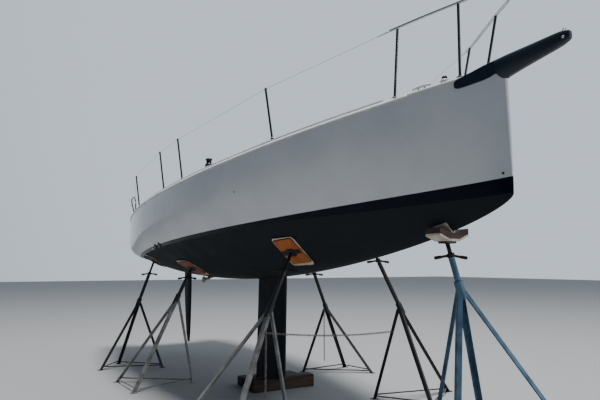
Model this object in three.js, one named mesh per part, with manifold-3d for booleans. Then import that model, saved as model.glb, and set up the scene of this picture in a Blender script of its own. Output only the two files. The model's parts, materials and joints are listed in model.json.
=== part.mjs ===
// Light racing sloop ashore: hull and deck, keel and rudder, deck gear, keel timbers and six jack stands.
// Units are millimetres. World frame: +X towards the bow, +Y to port, +Z up, origin on the ground under the
// fore timber of the keel.
// Boat frame: origin at the foot of the stem on the boot top plane, same directions, trimmed bow up.

import * as THREE from 'three';
import { mergeVertices } from 'three/addons/utils/BufferGeometryUtils.js';
import Module from 'manifold-3d';

const wasm = await Module();
wasm.setup();

// Driving dimensions of the hull
const hullLength = 8700;
const trimAngle = THREE.MathUtils.degToRad(3.29); // bow up as it stands ashore
const stemFootHeight = 2420; // boot top plane above the ground at the stem
const keelAftOfStem = 4270; // the world origin, measured level from the stem foot
const stemRake = 30; // the stem head stands this far ahead of its foot
const deckEdge = 30; // thickness of the deck moulding at its edge
const deckCamber = 32; // rise of the deck from the edge to the centreline
const fitGap = 0.3; // gap kept between pieces that touch

// Cockpit, cabin and hatches (aft distances are from the stem foot)
const cockpit = { fore: 5450, halfWidth: 620, floor: 300, lining: 22 };
const saloon = { fore: 3150, aft: 5180, halfWidth: 560, floor: -230 };
const companionway = { halfWidth: 290, sill: 430 };
const roof = { aft: 5350, crown: 1150, wall: 32, tumble: 55, camber: 45 };
const foreHatch = { centre: 2020, half: 250, frameHeight: 30, frameWidth: 40, lid: 16 };

// Fin and rudder
const fin = { rootFore: 3770, rootAft: 4660, tipFore: 3900, tipAft: 4830, top: -430, foot: -1960 };
const finThick = 112;
const finFall = 95; // how much lower the foot is at its aft end
const finRound = 45; // how far the fore corner of the foot is taken back
const rudder = { axis: 8170, fore: 125, aft: 335, top: -285, topRise: 75, foot: -1735, thick: 62 };
const rudderTipShare = 0.4; // chord at the foot as a share of the chord at the top
const stock = { radius: 25, hole: 25.9, head: 640, sides: 14 };

// Rails and tubes
const railHeight = 635;
const tubeRadius = 12.5;
const stanchionLean = THREE.MathUtils.degToRad(7);

function smoothShare(value, low, high) {
  return Math.min(1, Math.max(0, (value - low) / (high - low)));
}

// Lines of the hull: every value is a function of the share of the length, 0 at the stem, 1 at the transom.
function sheerHeight(share) {
  if (share < 0.8) return 742 + 140 * (1 - share / 0.8) ** 2.6;
  return 742 + 30 * ((share - 0.8) / 0.2) ** 2;
}

function sheerBreadth(share) {
  const stemRound = 20 * (1 - share);
  if (share < 0.72) return stemRound + 1385 * (1 - (1 - share / 0.72) ** 2.1) ** (1 / 1.1);
  return stemRound + 1385 - 270 * ((share - 0.72) / 0.28) ** 1.8;
}

function bootBreadth(share) {
  const stemRound = 8 * (1 - share);
  if (share < 0.68) return stemRound + 1232 * (1 - (1 - share / 0.68) ** 2) ** 1.25;
  return stemRound + 1232 - 344 * ((share - 0.68) / 0.32) ** 2;
}

function canoeDepth(share) {
  if (share < 0.48) return 135 + 468 * (1 - (1 - share / 0.48) ** 2) ** 0.64;
  return 603 - 500 * ((share - 0.48) / 0.52) ** 2.2;
}

function bilgeFullness(share) {
  return 1.25 + 0.7 * smoothShare(share, 0, 0.45) + 0.25 * smoothShare(share, 0.45, 1);
}

// Half breadth of the hull at a height above the boot top plane.
function hullBreadth(share, height) {
  const depth = canoeDepth(share);
  const sheer = sheerHeight(share);
  const breadth = sheerBreadth(share);
  const fullness = bilgeFullness(share);
  const climb = Math.min(1, Math.max(0, (height + depth) / (sheer + depth)));
  const bootShare = (bootBreadth(share) / breadth) ** fullness;
  const flare = Math.log(1 - bootShare) / Math.log(1 - depth / (sheer + depth));
  return breadth * (1 - (1 - climb) ** flare) ** (1 / fullness);
}

// The stem head leans ahead of its foot, and this fades out over the first tenth of the length.
function stemLead(share, height) {
  return (stemRake * height / sheerHeight(0)) * Math.max(0, 1 - share / 0.1);
}

function deckHeight(aft, side) {
  const share = aft / hullLength;
  const across = Math.min(1, Math.abs(side) / sheerBreadth(share));
  return sheerHeight(share) + deckCamber * (1 - across ** 2);
}

// Solids: every piece is worked as a closed solid and ends as a mesh.
function toSolid(geometry) {
  const bare = geometry.clone();
  bare.deleteAttribute('normal');
  bare.deleteAttribute('uv');
  const merged = mergeVertices(bare, 1e-3);
  const triVerts = new Uint32Array(merged.index.array);
  const vertProperties = new Float32Array(merged.attributes.position.array);
  return new wasm.Manifold(new wasm.Mesh({ numProp: 3, vertProperties, triVerts }));
}

function toGeometry(solid) {
  const mesh = solid.getMesh();
  const geometry = new THREE.BufferGeometry();
  geometry.setAttribute('position', new THREE.BufferAttribute(new Float32Array(mesh.vertProperties), 3));
  geometry.setIndex(new THREE.BufferAttribute(new Uint32Array(mesh.triVerts), 1));
  geometry.computeVertexNormals();
  return geometry;
}

function joinAll(solids) {
  return solids.reduce((whole, next) => whole.add(next));
}

// A closed solid through rings of points, all with the same count, going round in the same sense.
function loft(rings) {
  const count = rings[0].length;
  const positions = rings.flat().flatMap((point) => [point.x, point.y, point.z]);
  const faces = [];
  for (let ring = 0; ring + 1 < rings.length; ring += 1) {
    for (let side = 0; side < count; side += 1) {
      const next = (side + 1) % count;
      const here = ring * count;
      const there = here + count;
      faces.push(here + side, here + next, there + next, here + side, there + next, there + side);
    }
  }
  const capOf = (ring, start, flip) => {
    const normal = new THREE.Vector3();
    ring.forEach((point, index) => normal.add(point.clone().cross(ring[(index + 1) % count])));
    const spin = new THREE.Quaternion().setFromUnitVectors(normal.normalize(), new THREE.Vector3(0, 0, 1));
    const flat = ring.map((point) => {
      const turned = point.clone().applyQuaternion(spin);
      return new THREE.Vector2(turned.x, turned.y);
    });
    for (const [a, b, c] of THREE.ShapeUtils.triangulateShape(flat, [])) {
      faces.push(...(flip ? [start + a, start + c, start + b] : [start + a, start + b, start + c]));
    }
  };
  capOf(rings[0], 0, true);
  capOf(rings[rings.length - 1], (rings.length - 1) * count, false);
  const geometry = new THREE.BufferGeometry();
  geometry.setAttribute('position', new THREE.BufferAttribute(new Float32Array(positions), 3));
  geometry.setIndex(faces);
  return toSolid(geometry);
}

// A block between an aft range, a side range (port positive) and a height range in the boat frame.
function block(aft, side, height) {
  const geometry = new THREE.BoxGeometry(aft[1] - aft[0], side[1] - side[0], height[1] - height[0]);
  geometry.translate(-(aft[0] + aft[1]) / 2, (side[0] + side[1]) / 2, (height[0] + height[1]) / 2);
  return toSolid(geometry);
}

// A straight round bar between two points, which may taper.
function bar(from, to, radius, endRadius = radius, sides = 10) {
  const along = to.clone().sub(from);
  const geometry = new THREE.CylinderGeometry(endRadius, radius, along.length(), sides);
  const up = new THREE.Vector3(0, 1, 0);
  geometry.applyQuaternion(new THREE.Quaternion().setFromUnitVectors(up, along.clone().normalize()));
  geometry.translate(...from.clone().add(to).multiplyScalar(0.5).toArray());
  return toSolid(geometry);
}

// A round tube along a smooth curve through the points.
function bentTube(points, radius, steps, sides = 8) {
  const curve = new THREE.CatmullRomCurve3(points, false, 'catmullrom', 0.5);
  const section = new THREE.Shape();
  for (let side = 0; side <= sides; side += 1) {
    const angle = (side / sides) * Math.PI * 2;
    const corner = [radius * Math.cos(angle), radius * Math.sin(angle)];
    if (side === 0) section.moveTo(...corner);
    else section.lineTo(...corner);
  }
  return toSolid(new THREE.ExtrudeGeometry(section, { steps, extrudePath: curve, curveSegments: 1 }));
}

// A point in the boat frame.
function boatPoint(aft, side, height) {
  return new THREE.Vector3(-aft, side, height);
}

// Sections of the hull, with the outline grown outwards by a few tenths where a neighbour is cut to it.
const hullStations = [0, 0.004, 0.012, 0.03, 0.06, 0.1, 0.15, 0.2, 0.27, 0.34, 0.41, 0.48,
  0.55, 0.62, 0.69, 0.76, 0.82, 0.88, 0.94, 1];
const sectionSteps = 11;

function hullRing(share, topDrop, grow) {
  const depth = canoeDepth(share);
  const top = sheerHeight(share) - topDrop;
  const half = [];
  for (let step = 0; step <= sectionSteps; step += 1) {
    const climb = (step / sectionSteps) ** 1.5;
    const height = -depth + climb * (top + depth);
    const side = Math.max(0, hullBreadth(share, height)) + (step > 0 ? grow : 0);
    half.push([side, height - (step === 0 ? grow : 0)]);
  }
  const aft = (height) => share * hullLength - stemLead(share, height) - (share === 0 ? grow : 0)
    + (share === 1 ? grow : 0);
  const port = half.map(([side, height]) => boatPoint(aft(height), side, height));
  const starboard = half.slice(1).reverse().map(([side, height]) => boatPoint(aft(height), -side, height));
  return [...port, ...starboard];
}

function hullBody(topDrop, grow) {
  return loft(hullStations.map((share) => hullRing(share, topDrop, grow)).reverse());
}

// The deck moulding: flat underneath at each station, cambered on top.
const camberShares = [1, 0.72, 0.36, 0, -0.36, -0.72, -1];

function deckSlab(under, lift) {
  const rings = hullStations.map((share) => {
    const top = sheerHeight(share);
    const edge = hullBreadth(share, top);
    const lower = hullBreadth(share, top - deckEdge);
    const ahead = share * hullLength - stemLead(share, top);
    const behind = share * hullLength - stemLead(share, top - deckEdge);
    const low = top - deckEdge + under;
    const ring = [boatPoint(behind, -lower, low), boatPoint(behind, lower, low)];
    for (const across of camberShares) {
      const height = top + deckCamber * (1 - across ** 2) + lift;
      ring.push(boatPoint(ahead, across * edge, height));
    }
    return ring;
  });
  return loft(rings.reverse());
}

const hullTool = hullBody(deckEdge, fitGap);
const deckTool = deckSlab(-200, fitGap);

const group = new THREE.Group();
const boat = new THREE.Group();
boat.rotation.y = -trimAngle;
boat.position.set(keelAftOfStem, 0, stemFootHeight);
group.add(boat);
boat.updateMatrixWorld(true);

const finishes = {
  topsides: { color: 0xd9dcdf, roughness: 0.18, metalness: 0 },
  deck: { color: 0xe6e6e2, roughness: 0.55, metalness: 0 },
  smokedPane: { color: 0x15181b, roughness: 0.12, metalness: 0 },
  carbon: { color: 0x141519, roughness: 0.35, metalness: 0.1 },
  stainless: { color: 0xb9bec3, roughness: 0.22, metalness: 1 },
  alloy: { color: 0x8f959b, roughness: 0.4, metalness: 0.9 },
  blackAlloy: { color: 0x1a1b1d, roughness: 0.45, metalness: 0.6 },
  antifouling: { color: 0x1b2022, roughness: 0.85, metalness: 0 },
  bronze: { color: 0x8a6a3a, roughness: 0.4, metalness: 1 },
  greySteel: { color: 0x5a5f63, roughness: 0.6, metalness: 0.6 },
  blackSteel: { color: 0x1d1f21, roughness: 0.6, metalness: 0.5 },
  blueSteel: { color: 0x27405a, roughness: 0.6, metalness: 0.4 },
  plywood: { color: 0xc98a4b, roughness: 0.8, metalness: 0 },
  timber: { color: 0x6b4a2f, roughness: 0.85, metalness: 0 },
};

function place(parent, name, solid, finish) {
  const mesh = new THREE.Mesh(toGeometry(solid), new THREE.MeshStandardMaterial(finishes[finish]));
  mesh.name = name;
  parent.add(mesh);
  return mesh;
}

// Hull with the cockpit well, the saloon and the passage between them cut out.
const wellOutline = block([cockpit.fore, hullLength + 200], [-cockpit.halfWidth, cockpit.halfWidth],
  [cockpit.floor, 1600]);
const saloonSpace = block([saloon.fore, saloon.aft], [-saloon.halfWidth, saloon.halfWidth],
  [saloon.floor, 1300]);
const passage = block([saloon.aft - 20, cockpit.fore + 20], [-companionway.halfWidth, companionway.halfWidth],
  [companionway.sill, 1300]);
const stockHole = bar(boatPoint(rudder.axis, 0, -500), boatPoint(rudder.axis, 0, 500),
  stock.hole, stock.hole, 24);
const hatchHoleHalf = foreHatch.half - 20;
const hatchHole = block([foreHatch.centre - hatchHoleHalf, foreHatch.centre + hatchHoleHalf],
  [-hatchHoleHalf, hatchHoleHalf], [480, 1300]);

place(boat, 'hull', hullBody(deckEdge, 0).subtract(wellOutline).subtract(saloonSpace).subtract(passage)
  .subtract(stockHole).subtract(hatchHole), 'topsides');

// Deck moulding
place(boat, 'deck', deckSlab(fitGap, 0).subtract(wellOutline).subtract(saloonSpace).subtract(passage)
  .subtract(hatchHole), 'deck');

// Cockpit lining: floor, two sides and the bulkhead at its fore end, open at the transom.
function cockpitLining() {
  const outer = block([cockpit.fore + fitGap, hullLength],
    [-cockpit.halfWidth + fitGap, cockpit.halfWidth - fitGap], [cockpit.floor + fitGap, 1200]);
  const inner = block([cockpit.fore + cockpit.lining, hullLength + 100],
    [-cockpit.halfWidth + cockpit.lining, cockpit.halfWidth - cockpit.lining],
    [cockpit.floor + cockpit.lining, 1400]);
  const above = hullStations.map((share) => {
    const top = sheerHeight(share) + 24;
    const ahead = share * hullLength;
    return [boatPoint(ahead, -1600, top), boatPoint(ahead, 1600, top),
      boatPoint(ahead, 1600, 2000), boatPoint(ahead, -1600, 2000)];
  });
  return outer.subtract(inner).subtract(loft(above.reverse())).subtract(passage).subtract(stockHole);
}
place(boat, 'cockpit_lining', cockpitLining(), 'deck');

// Coachroof sections. Columns: aft of the stem, half width at the deck, height of the crown.
const roofStations = [
  [2600, 300, 850], [2900, 450, 960], [3300, 580, 1075], [3700, 675, 1130],
  [4000, 725, 1150], [4600, 775, 1150], [5350, 800, 1150],
];
const roofAcross = [-1, -0.6, 0, 0.6, 1];

function roofShell(inset) {
  const rings = roofStations.map(([aft, halfWidth, crown], index) => {
    const last = index === roofStations.length - 1;
    const ahead = aft + (index === 0 ? inset * 2 : 0) - (last ? inset : 0);
    const base = Math.max(halfWidth - inset, 60);
    const upper = Math.max(halfWidth - roof.tumble - inset, 40);
    const low = deckHeight(aft, halfWidth) - 80;
    const ring = [boatPoint(ahead, base, low), boatPoint(ahead, -base, low)].reverse();
    for (const across of [...roofAcross].reverse()) {
      const height = Math.max(crown - roof.camber * across ** 2 - inset, low + 20);
      ring.push(boatPoint(ahead, across * upper, height));
    }
    return ring;
  });
  return loft(rings.reverse());
}

const windowHole = { fore: 3550, aft: 4650, low: 905, high: 1035 };
const hatchSlot = { fore: 4760, halfWidth: 300 };
const slide = { runnerFore: 4130, fore: 4720, aft: 5360, half: 342, under: roof.crown + 8, thick: 22 };
const windowCut = (grow) => block([windowHole.fore + grow, windowHole.aft - grow], [-1200, 1200],
  [windowHole.low + grow, windowHole.high - grow]);

function coachroof() {
  const opening = block([hatchSlot.fore, roof.aft + 100], [-hatchSlot.halfWidth, hatchSlot.halfWidth],
    [roof.crown - 120, 1400]);
  const door = block([roof.aft - 120, roof.aft + 100],
    [-companionway.halfWidth, companionway.halfWidth], [600, 1400]);
  const runners = [-1, 1].flatMap((side) => {
    const between = (inner, outer) => [side * inner, side * outer].sort((a, b) => a - b);
    const outer = slide.half + 24;
    const guard = block([slide.runnerFore, roof.aft], between(slide.half + 6, outer),
      [roof.crown - 30, slide.under + 28]);
    const ledge = block([slide.runnerFore, roof.aft], between(slide.half - 22, outer),
      [roof.crown - 30, slide.under - fitGap]);
    return [guard, ledge];
  });
  return joinAll([roofShell(0).subtract(roofShell(roof.wall)), ...runners])
    .subtract(deckTool).subtract(opening).subtract(door).subtract(windowCut(0));
}
place(boat, 'coachroof', coachroof(), 'deck');

const paneBand = roofShell(4).subtract(roofShell(16)).intersect(windowCut(fitGap));
for (const [name, side] of [['window_port', 1], ['window_starboard', -1]]) {
  const half = block([3000, 5200], side > 0 ? [100, 1200] : [-1200, -100], [700, 1300]);
  place(boat, name, paneBand.intersect(half), 'smokedPane');
}

// Sliding hatch over the companionway, and the board that closes the way below it.
place(boat, 'companion_slide', block([slide.fore, slide.aft], [-slide.half, slide.half],
  [slide.under, slide.under + slide.thick]), 'smokedPane');
place(boat, 'washboard', block([cockpit.fore - 60, cockpit.fore - 42],
  [-companionway.halfWidth + fitGap, companionway.halfWidth - fitGap],
  [companionway.sill + fitGap, roof.crown - 60]), 'smokedPane');

// Fore hatch: a frame on the deck and a lid hinged at its fore edge.
const hatchBase = deckHeight(foreHatch.centre - foreHatch.half, 0);
const hatchTop = hatchBase + foreHatch.frameHeight;
const hatchFore = foreHatch.centre - foreHatch.half;
const hatchAft = foreHatch.centre + foreHatch.half;
const frameInside = foreHatch.half - foreHatch.frameWidth;
const hatchOpening = block([foreHatch.centre - frameInside, foreHatch.centre + frameInside],
  [-frameInside, frameInside], [0, 1300]);
place(boat, 'fore_hatch_frame', block([hatchFore, hatchAft], [-foreHatch.half, foreHatch.half],
  [hatchBase - 80, hatchTop]).subtract(hatchOpening).subtract(deckTool), 'blackAlloy');
place(boat, 'fore_hatch_lid', block([hatchFore + 4, hatchAft - 4], [-foreHatch.half + 4, foreHatch.half - 4],
  [hatchTop + fitGap, hatchTop + fitGap + foreHatch.lid]), 'smokedPane');

// Mast step on the coachroof, where the unstepped mast would stand.
const mastStep = { aft: 3480, halfLength: 110, halfWidth: 70, top: 1131 };
const roofTool = roofShell(-fitGap);
place(boat, 'mast_step', block([mastStep.aft - mastStep.halfLength, mastStep.aft + mastStep.halfLength],
  [-mastStep.halfWidth, mastStep.halfWidth], [mastStep.top - 90, mastStep.top]).subtract(roofTool), 'alloy');

// Toe rails: a low strip inside the deck edge from just aft of the bow to the transom.
const toeRail = { fore: 950, aft: 8640, width: 14, height: 34, inset: 20 };
const toeRailSteps = 16;
function toeRailAlong(side) {
  const rings = [];
  for (let step = 0; step <= toeRailSteps; step += 1) {
    const aft = toeRail.fore + (step / toeRailSteps) * (toeRail.aft - toeRail.fore);
    const share = aft / hullLength;
    const outer = hullBreadth(share, sheerHeight(share)) - toeRail.inset;
    const low = sheerHeight(share) - 12;
    const high = sheerHeight(share) + toeRail.height;
    const inner = outer - toeRail.width;
    const ring = [boatPoint(aft, inner, low), boatPoint(aft, outer, low), boatPoint(aft, outer, high),
      boatPoint(aft, inner, high)];
    rings.push(side > 0 ? ring : ring.map((point) => boatPoint(-point.x, -point.y, point.z)).reverse());
  }
  return loft(rings.reverse()).subtract(deckTool);
}
place(boat, 'toe_rail_port', toeRailAlong(1), 'alloy');
place(boat, 'toe_rail_starboard', toeRailAlong(-1), 'alloy');

// Stanchions. Columns: name, distance aft of the stem.
const stanchionPlaces = [['fore', 2380], ['mid', 4520], ['aft', 5290], ['quarter', 7080]];
const stanchionInset = 76;
for (const [label, aft] of stanchionPlaces) {
  for (const [hand, side] of [['port', 1], ['starboard', -1]]) {
    const share = aft / hullLength;
    const out = sheerBreadth(share) - stanchionInset;
    const foot = deckHeight(aft, out) + 3;
    const base = boatPoint(aft, side * out, foot);
    const top = boatPoint(aft, side * (out + railHeight * Math.sin(stanchionLean)),
      foot + railHeight * Math.cos(stanchionLean));
    const flange = boatPoint(aft, side * out, foot - 20);
    const collar = base.clone().lerp(top, 0.12);
    const solid = joinAll([bar(base.clone().lerp(top, -0.03), top, tubeRadius, tubeRadius, 8),
      bar(base, collar, 19, 16, 8), bar(flange, boatPoint(aft, side * out, foot + 8), 31, 31, 10)]);
    place(boat, `stanchion_${label}_${hand}`, solid.subtract(deckTool), 'stainless');
  }
}

// Pulpit: two side rails joined by a bend round the bow, on four legs.
// Rail points on one side. Columns: aft, out to the side, height.
const pulpitRail = [[749, 468, 1438], [470, 350, 1455], [183, 221, 1470], [-30, 128, 1480]];
const pulpitNose = [-90, 0, 1482];
// Legs on one side. Columns: foot aft, foot out, then the head as aft, out, height.
const pulpitLegs = [[844, 392, [690, 440, 1440]], [300, 145, [183, 221, 1470]]];
const railFoot = { radius: 32, above: 10, below: 20 };

function railFlange(aft, out, sides) {
  const deck = deckHeight(aft, out);
  return bar(boatPoint(aft, out, deck - railFoot.below), boatPoint(aft, out, deck + railFoot.above),
    railFoot.radius, railFoot.radius, sides);
}

function pulpitFrame() {
  const onPort = pulpitRail.map(([aft, out, height]) => boatPoint(aft, out, height));
  const onStarboard = pulpitRail.map(([aft, out, height]) => boatPoint(aft, -out, height)).reverse();
  const parts = [bentTube([...onPort, boatPoint(...pulpitNose), ...onStarboard], tubeRadius, 22)];
  for (const side of [1, -1]) {
    for (const [footAft, footOut, [headAft, headOut, headHeight]] of pulpitLegs) {
      const foot = boatPoint(footAft, side * footOut, deckHeight(footAft, footOut) - 5);
      parts.push(bar(foot, boatPoint(headAft, side * headOut, headHeight), tubeRadius, tubeRadius, 8));
      parts.push(railFlange(footAft, side * footOut, 8));
    }
  }
  return joinAll(parts).subtract(deckTool);
}

// Quarter rails at the stern, one each side. Columns: aft, out to the side, height above the deck.
const quarterRailLine = [[8560, 1040, -5], [8600, 1075, 180], [8635, 1105, 330], [8620, 1120, 410],
  [8480, 1135, 430], [8180, 1160, 400], [7960, 1180, 300], [7880, 1185, 160], [7860, 1185, -5]];
function quarterRail(side) {
  const [footAft, footOut] = quarterRailLine[0];
  const [headAft, headOut] = quarterRailLine[quarterRailLine.length - 1];
  const points = quarterRailLine.map(([aft, out, above]) => boatPoint(aft, side * out,
    (above < 0 ? deckHeight(aft, out) : deckHeight(footAft, footOut)) + above));
  return joinAll([bentTube(points, tubeRadius, 16), railFlange(footAft, side * footOut, 10),
    railFlange(headAft, side * headOut, 10)]).subtract(deckTool);
}

// Bowsprit: a deep carbon arm ahead of the stem and a saddle that wraps the stem head.
const sprit = { fore: -80, saddleAft: 330, saddleLow: 770, saddleHigh: 830, wall: 9, seatGap: 0.8 };
// Sections of the arm. Columns: aft of the stem, half width above, half width below, low edge, high edge.
const spritSections = [[260, 60, 60, 900, 925], [120, 70, 44, 840, 938], [0, 62, 25, 765, 945],
  [-60, 56, 25, 778, 945], [-300, 44, 26, 808, 938], [-520, 34, 24, 832, 931], [-590, 20, 16, 855, 918]];
const spritCrown = 6;
const spritBelly = 8;

function bowsprit() {
  const rings = spritSections.map(([aft, half, under, low, high]) => {
    const port = [[under * 0.6, low - spritBelly], [under, low], [half, (low + high) / 2], [half, high],
      [half * 0.6, high + spritCrown]];
    const starboard = [...port].reverse().map(([side, height]) => [-side, height]);
    return [...port, ...starboard].map(([side, height]) => boatPoint(aft, side, height)).reverse();
  });
  const lowCheeks = hullBody(0, sprit.wall).intersect(
    block([sprit.fore, sprit.saddleAft], [-400, 400], [sprit.saddleLow, sprit.saddleHigh]));
  const highCheeks = hullBody(-6, sprit.wall).intersect(
    block([sprit.fore, 190], [-400, 400], [sprit.saddleLow, 900]));
  return loft(rings.reverse()).add(lowCheeks).add(highCheeks)
    .subtract(hullBody(-2, sprit.seatGap)).subtract(hullTool).subtract(deckTool);
}

const spritSpace = block([-700, 262], [-66, 66], [700, 956]);
place(boat, 'bowsprit', bowsprit(), 'carbon');
place(boat, 'pulpit', pulpitFrame().subtract(spritSpace), 'stainless');
place(boat, 'quarter_rail_port', quarterRail(1), 'stainless');
place(boat, 'quarter_rail_starboard', quarterRail(-1), 'stainless');

// Winches. Columns: name, aft, out to the side, whether on the deck, drum radius, drum height, plinth.
const winchPlaces = [['cabin', 5200, 610, false, 60, 100, 84], ['primary', 6250, 860, true, 62, 105, 22]];
const winch = { spindle: 10, spindleRise: 38, spindleGap: 0.6, bore: 40, drumGap: 0.4, sides: 14 };
const roofHalfAtWinch = 795 - roof.tumble;
// Drum outline. Columns: share of the drum radius, share of the drum height.
const drumOutline = [[1, 0], [0.68, 0.3], [0.68, 0.62], [0.92, 0.84], [0.92, 1], [0, 1]];

for (const [label, aft, out, onDeck, radius, height, plinthHeight] of winchPlaces) {
  for (const [hand, side] of [['port', 1], ['starboard', -1]]) {
    const roofSeat = roof.crown - roof.camber * (out / roofHalfAtWinch) ** 2 + 12;
    const seat = (onDeck ? deckHeight(aft, out - radius) : roofSeat) + 4;
    const at = (level) => boatPoint(aft, side * out, level);
    const top = seat + plinthHeight;
    const plinth = bar(at(seat - 30), at(top), radius + 8, radius + 2, winch.sides);
    const spindle = bar(at(seat), at(top + winch.spindleRise), winch.spindle, winch.spindle);
    place(boat, `winch_${label}_base_${hand}`,
      plinth.add(spindle).subtract(onDeck ? deckTool : roofTool), 'blackAlloy');

    const low = top + winch.drumGap;
    const bore = winch.spindle + winch.spindleGap;
    const profile = [[0, low + winch.bore], [bore, low + winch.bore], [bore, low],
      ...drumOutline.map(([wide, tall]) => [wide * radius, low + tall * height])];
    const drum = new THREE.LatheGeometry(profile.map(([x, y]) => new THREE.Vector2(x, y)), winch.sides);
    drum.rotateX(Math.PI / 2);
    drum.translate(-aft, side * out, 0);
    place(boat, `winch_${label}_drum_${hand}`, toSolid(drum), 'alloy');
  }
}

// Mainsheet track across the cockpit floor.
const trackTop = cockpit.floor + cockpit.lining;
const trackHalf = cockpit.halfWidth - 40;
place(boat, 'mainsheet_track', block([6830, 6870], [-trackHalf, trackHalf],
  [trackTop + fitGap, trackTop + 34]), 'blackAlloy');

// Chainplates at the shroud roots.
const chainplate = { aft: 3800, inset: 150, foot: 60, tang: 35, footHalf: 24, tangHalf: 4, height: 60 };
for (const [hand, side] of [['port', 1], ['starboard', -1]]) {
  const out = sheerBreadth(chainplate.aft / hullLength) - chainplate.inset;
  const low = deckHeight(chainplate.aft, out);
  const along = (half) => [chainplate.aft - half, chainplate.aft + half];
  const across = (half) => [side * out - half, side * out + half];
  const foot = block(along(chainplate.foot), across(chainplate.footHalf), [low - 20, low + 6]);
  const tang = block(along(chainplate.tang), across(chainplate.tangHalf), [low, low + chainplate.height]);
  place(boat, `chainplate_${hand}`, foot.add(tang).subtract(deckTool), 'stainless');
}

// Foil sections, fore edge at 0, aft edge at 1. Columns: share of the chord, share of the half thickness.
const foilTable = [[0, 0], [0.03, 0.5], [0.12, 0.86], [0.32, 1], [0.6, 0.76], [0.85, 0.3], [1, 0.04]];
function foilRing(fore, aft, half, height, rise = 0) {
  const side = foilTable.slice(1).map(([along, wide]) => [fore + along * (aft - fore), wide * half,
    height + along * rise]);
  const port = side.map(([where, out, level]) => boatPoint(where, out, level));
  const starboard = [...side].reverse().map(([where, out, level]) => boatPoint(where, -out, level));
  return [boatPoint(fore, 0, height), ...port, ...starboard];
}

// Fin: its foot falls towards the aft edge.
function finBody(grow) {
  const { lerp } = THREE.MathUtils;
  const ring = (rise, trim) => foilRing(lerp(fin.tipFore, fin.rootFore, rise) + trim - grow,
    lerp(fin.tipAft, fin.rootAft, rise) + grow, finThick / 2 + grow, lerp(fin.foot, fin.top, rise) - grow,
    (rise - 1) * finFall);
  return loft([ring(0, finRound), ring(0.05, 0), ring(1, 0)]);
}
place(boat, 'keel_fin', finBody(0).subtract(hullTool), 'antifouling');

// Rudder: blade and stock in one. Its chord shrinks towards the foot and is rounded off at the tip.
const rudderLevels = [0, 0.3, 0.6, 0.8, 0.92, 0.98, 1];
function rudderBody() {
  const rings = rudderLevels.map((level) => {
    const rounding = 1 - Math.max(0, level - 0.9) * 3;
    const reach = (1 - (1 - rudderTipShare) * level ** 2.2) * rounding;
    const height = rudder.top + level * (rudder.foot - rudder.top);
    return foilRing(rudder.axis - rudder.fore * reach, rudder.axis + rudder.aft * reach,
      (rudder.thick / 2) * Math.max(0.4, reach), height, level === 0 ? rudder.topRise : 0);
  });
  return loft(rings.reverse()).add(bar(boatPoint(rudder.axis, 0, rudder.top - 300),
    boatPoint(rudder.axis, 0, stock.head), stock.radius, stock.radius, stock.sides));
}
place(boat, 'rudder', rudderBody(), 'antifouling');

// Tiller, clamped on the stock head. Columns: distance ahead of the stock, height.
const tillerLine = [[-60, 610], [150, 640], [500, 800], [850, 930], [1150, 985]];
const clamp = { low: 585, high: 650, radius: 42 };
const onStock = (height) => boatPoint(rudder.axis, 0, height);
const clampBore = stock.radius + fitGap;
const tillerPoints = tillerLine.map(([ahead, height]) => boatPoint(rudder.axis - ahead, 0, height));
place(boat, 'tiller', bentTube(tillerPoints, 17, 10)
  .add(bar(onStock(clamp.low), onStock(clamp.high), clamp.radius, clamp.radius, 16))
  .subtract(bar(onStock(400), onStock(stock.head + fitGap), clampBore, clampBore, stock.sides)), 'carbon');

// Propeller shaft in its bracket, and the folded two blade propeller.
const shaft = { fore: 6300, aft: 7090, foreHeight: -470, aftHeight: -512, radius: 15 };
const bracket = { aft: 6980, barrel: 60, chord: 40, half: 10, low: -505, high: -300 };
const shaftLine = (aft) => boatPoint(aft, 0, shaft.foreHeight
  + ((aft - shaft.fore) / (shaft.aft - shaft.fore)) * (shaft.aftHeight - shaft.foreHeight));
const strutRing = (height) => foilRing(bracket.aft - bracket.chord, bracket.aft + bracket.chord,
  bracket.half, height);
place(boat, 'shaft_bracket', joinAll([bar(shaftLine(shaft.fore), shaftLine(shaft.aft), shaft.radius),
  bar(shaftLine(bracket.aft - bracket.barrel), shaftLine(bracket.aft + bracket.barrel), 26, 24, 12),
  loft([strutRing(bracket.low), strutRing(bracket.high)])]).subtract(hullTool), 'bronze');

const blade = { reach: 105, half: 36, thick: 9, spread: 24, behindShaft: 165 };
function propeller() {
  const hub = bar(shaftLine(shaft.aft + 0.6), shaftLine(shaft.aft + 96), 30, 22, 12);
  const middle = shaftLine(shaft.aft + blade.behindShaft);
  const blades = [1, -1].map((side) => {
    const shape = new THREE.SphereGeometry(1, 10, 6);
    shape.scale(blade.reach, blade.half, blade.thick);
    shape.rotateX(Math.PI / 2);
    shape.translate(middle.x, middle.y, middle.z + side * blade.spread);
    return toSolid(shape);
  });
  return joinAll([hub, ...blades]);
}
place(boat, 'propeller', propeller(), 'bronze');

// Timbers under the fin, cut to its foot. Columns: name, middle along X, width, ends to starboard and port,
// height.
const timberPlaces = [['fore', -60, 200, [-250, 710], 168], ['aft', -480, 240, [-230, 650], 125]];
const boatMatrix = new THREE.Matrix4().copy(boat.matrixWorld);
const worldSolid = (solid) => toSolid(toGeometry(solid).applyMatrix4(boatMatrix));
const finSeat = worldSolid(finBody(fitGap));
for (const [label, along, width, [starboardEnd, portEnd], height] of timberPlaces) {
  const timber = new THREE.BoxGeometry(width, portEnd - starboardEnd, height);
  timber.translate(along, (starboardEnd + portEnd) / 2, height / 2);
  place(group, `keel_timber_${label}`, toSolid(timber).subtract(finSeat), 'timber');
}

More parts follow.
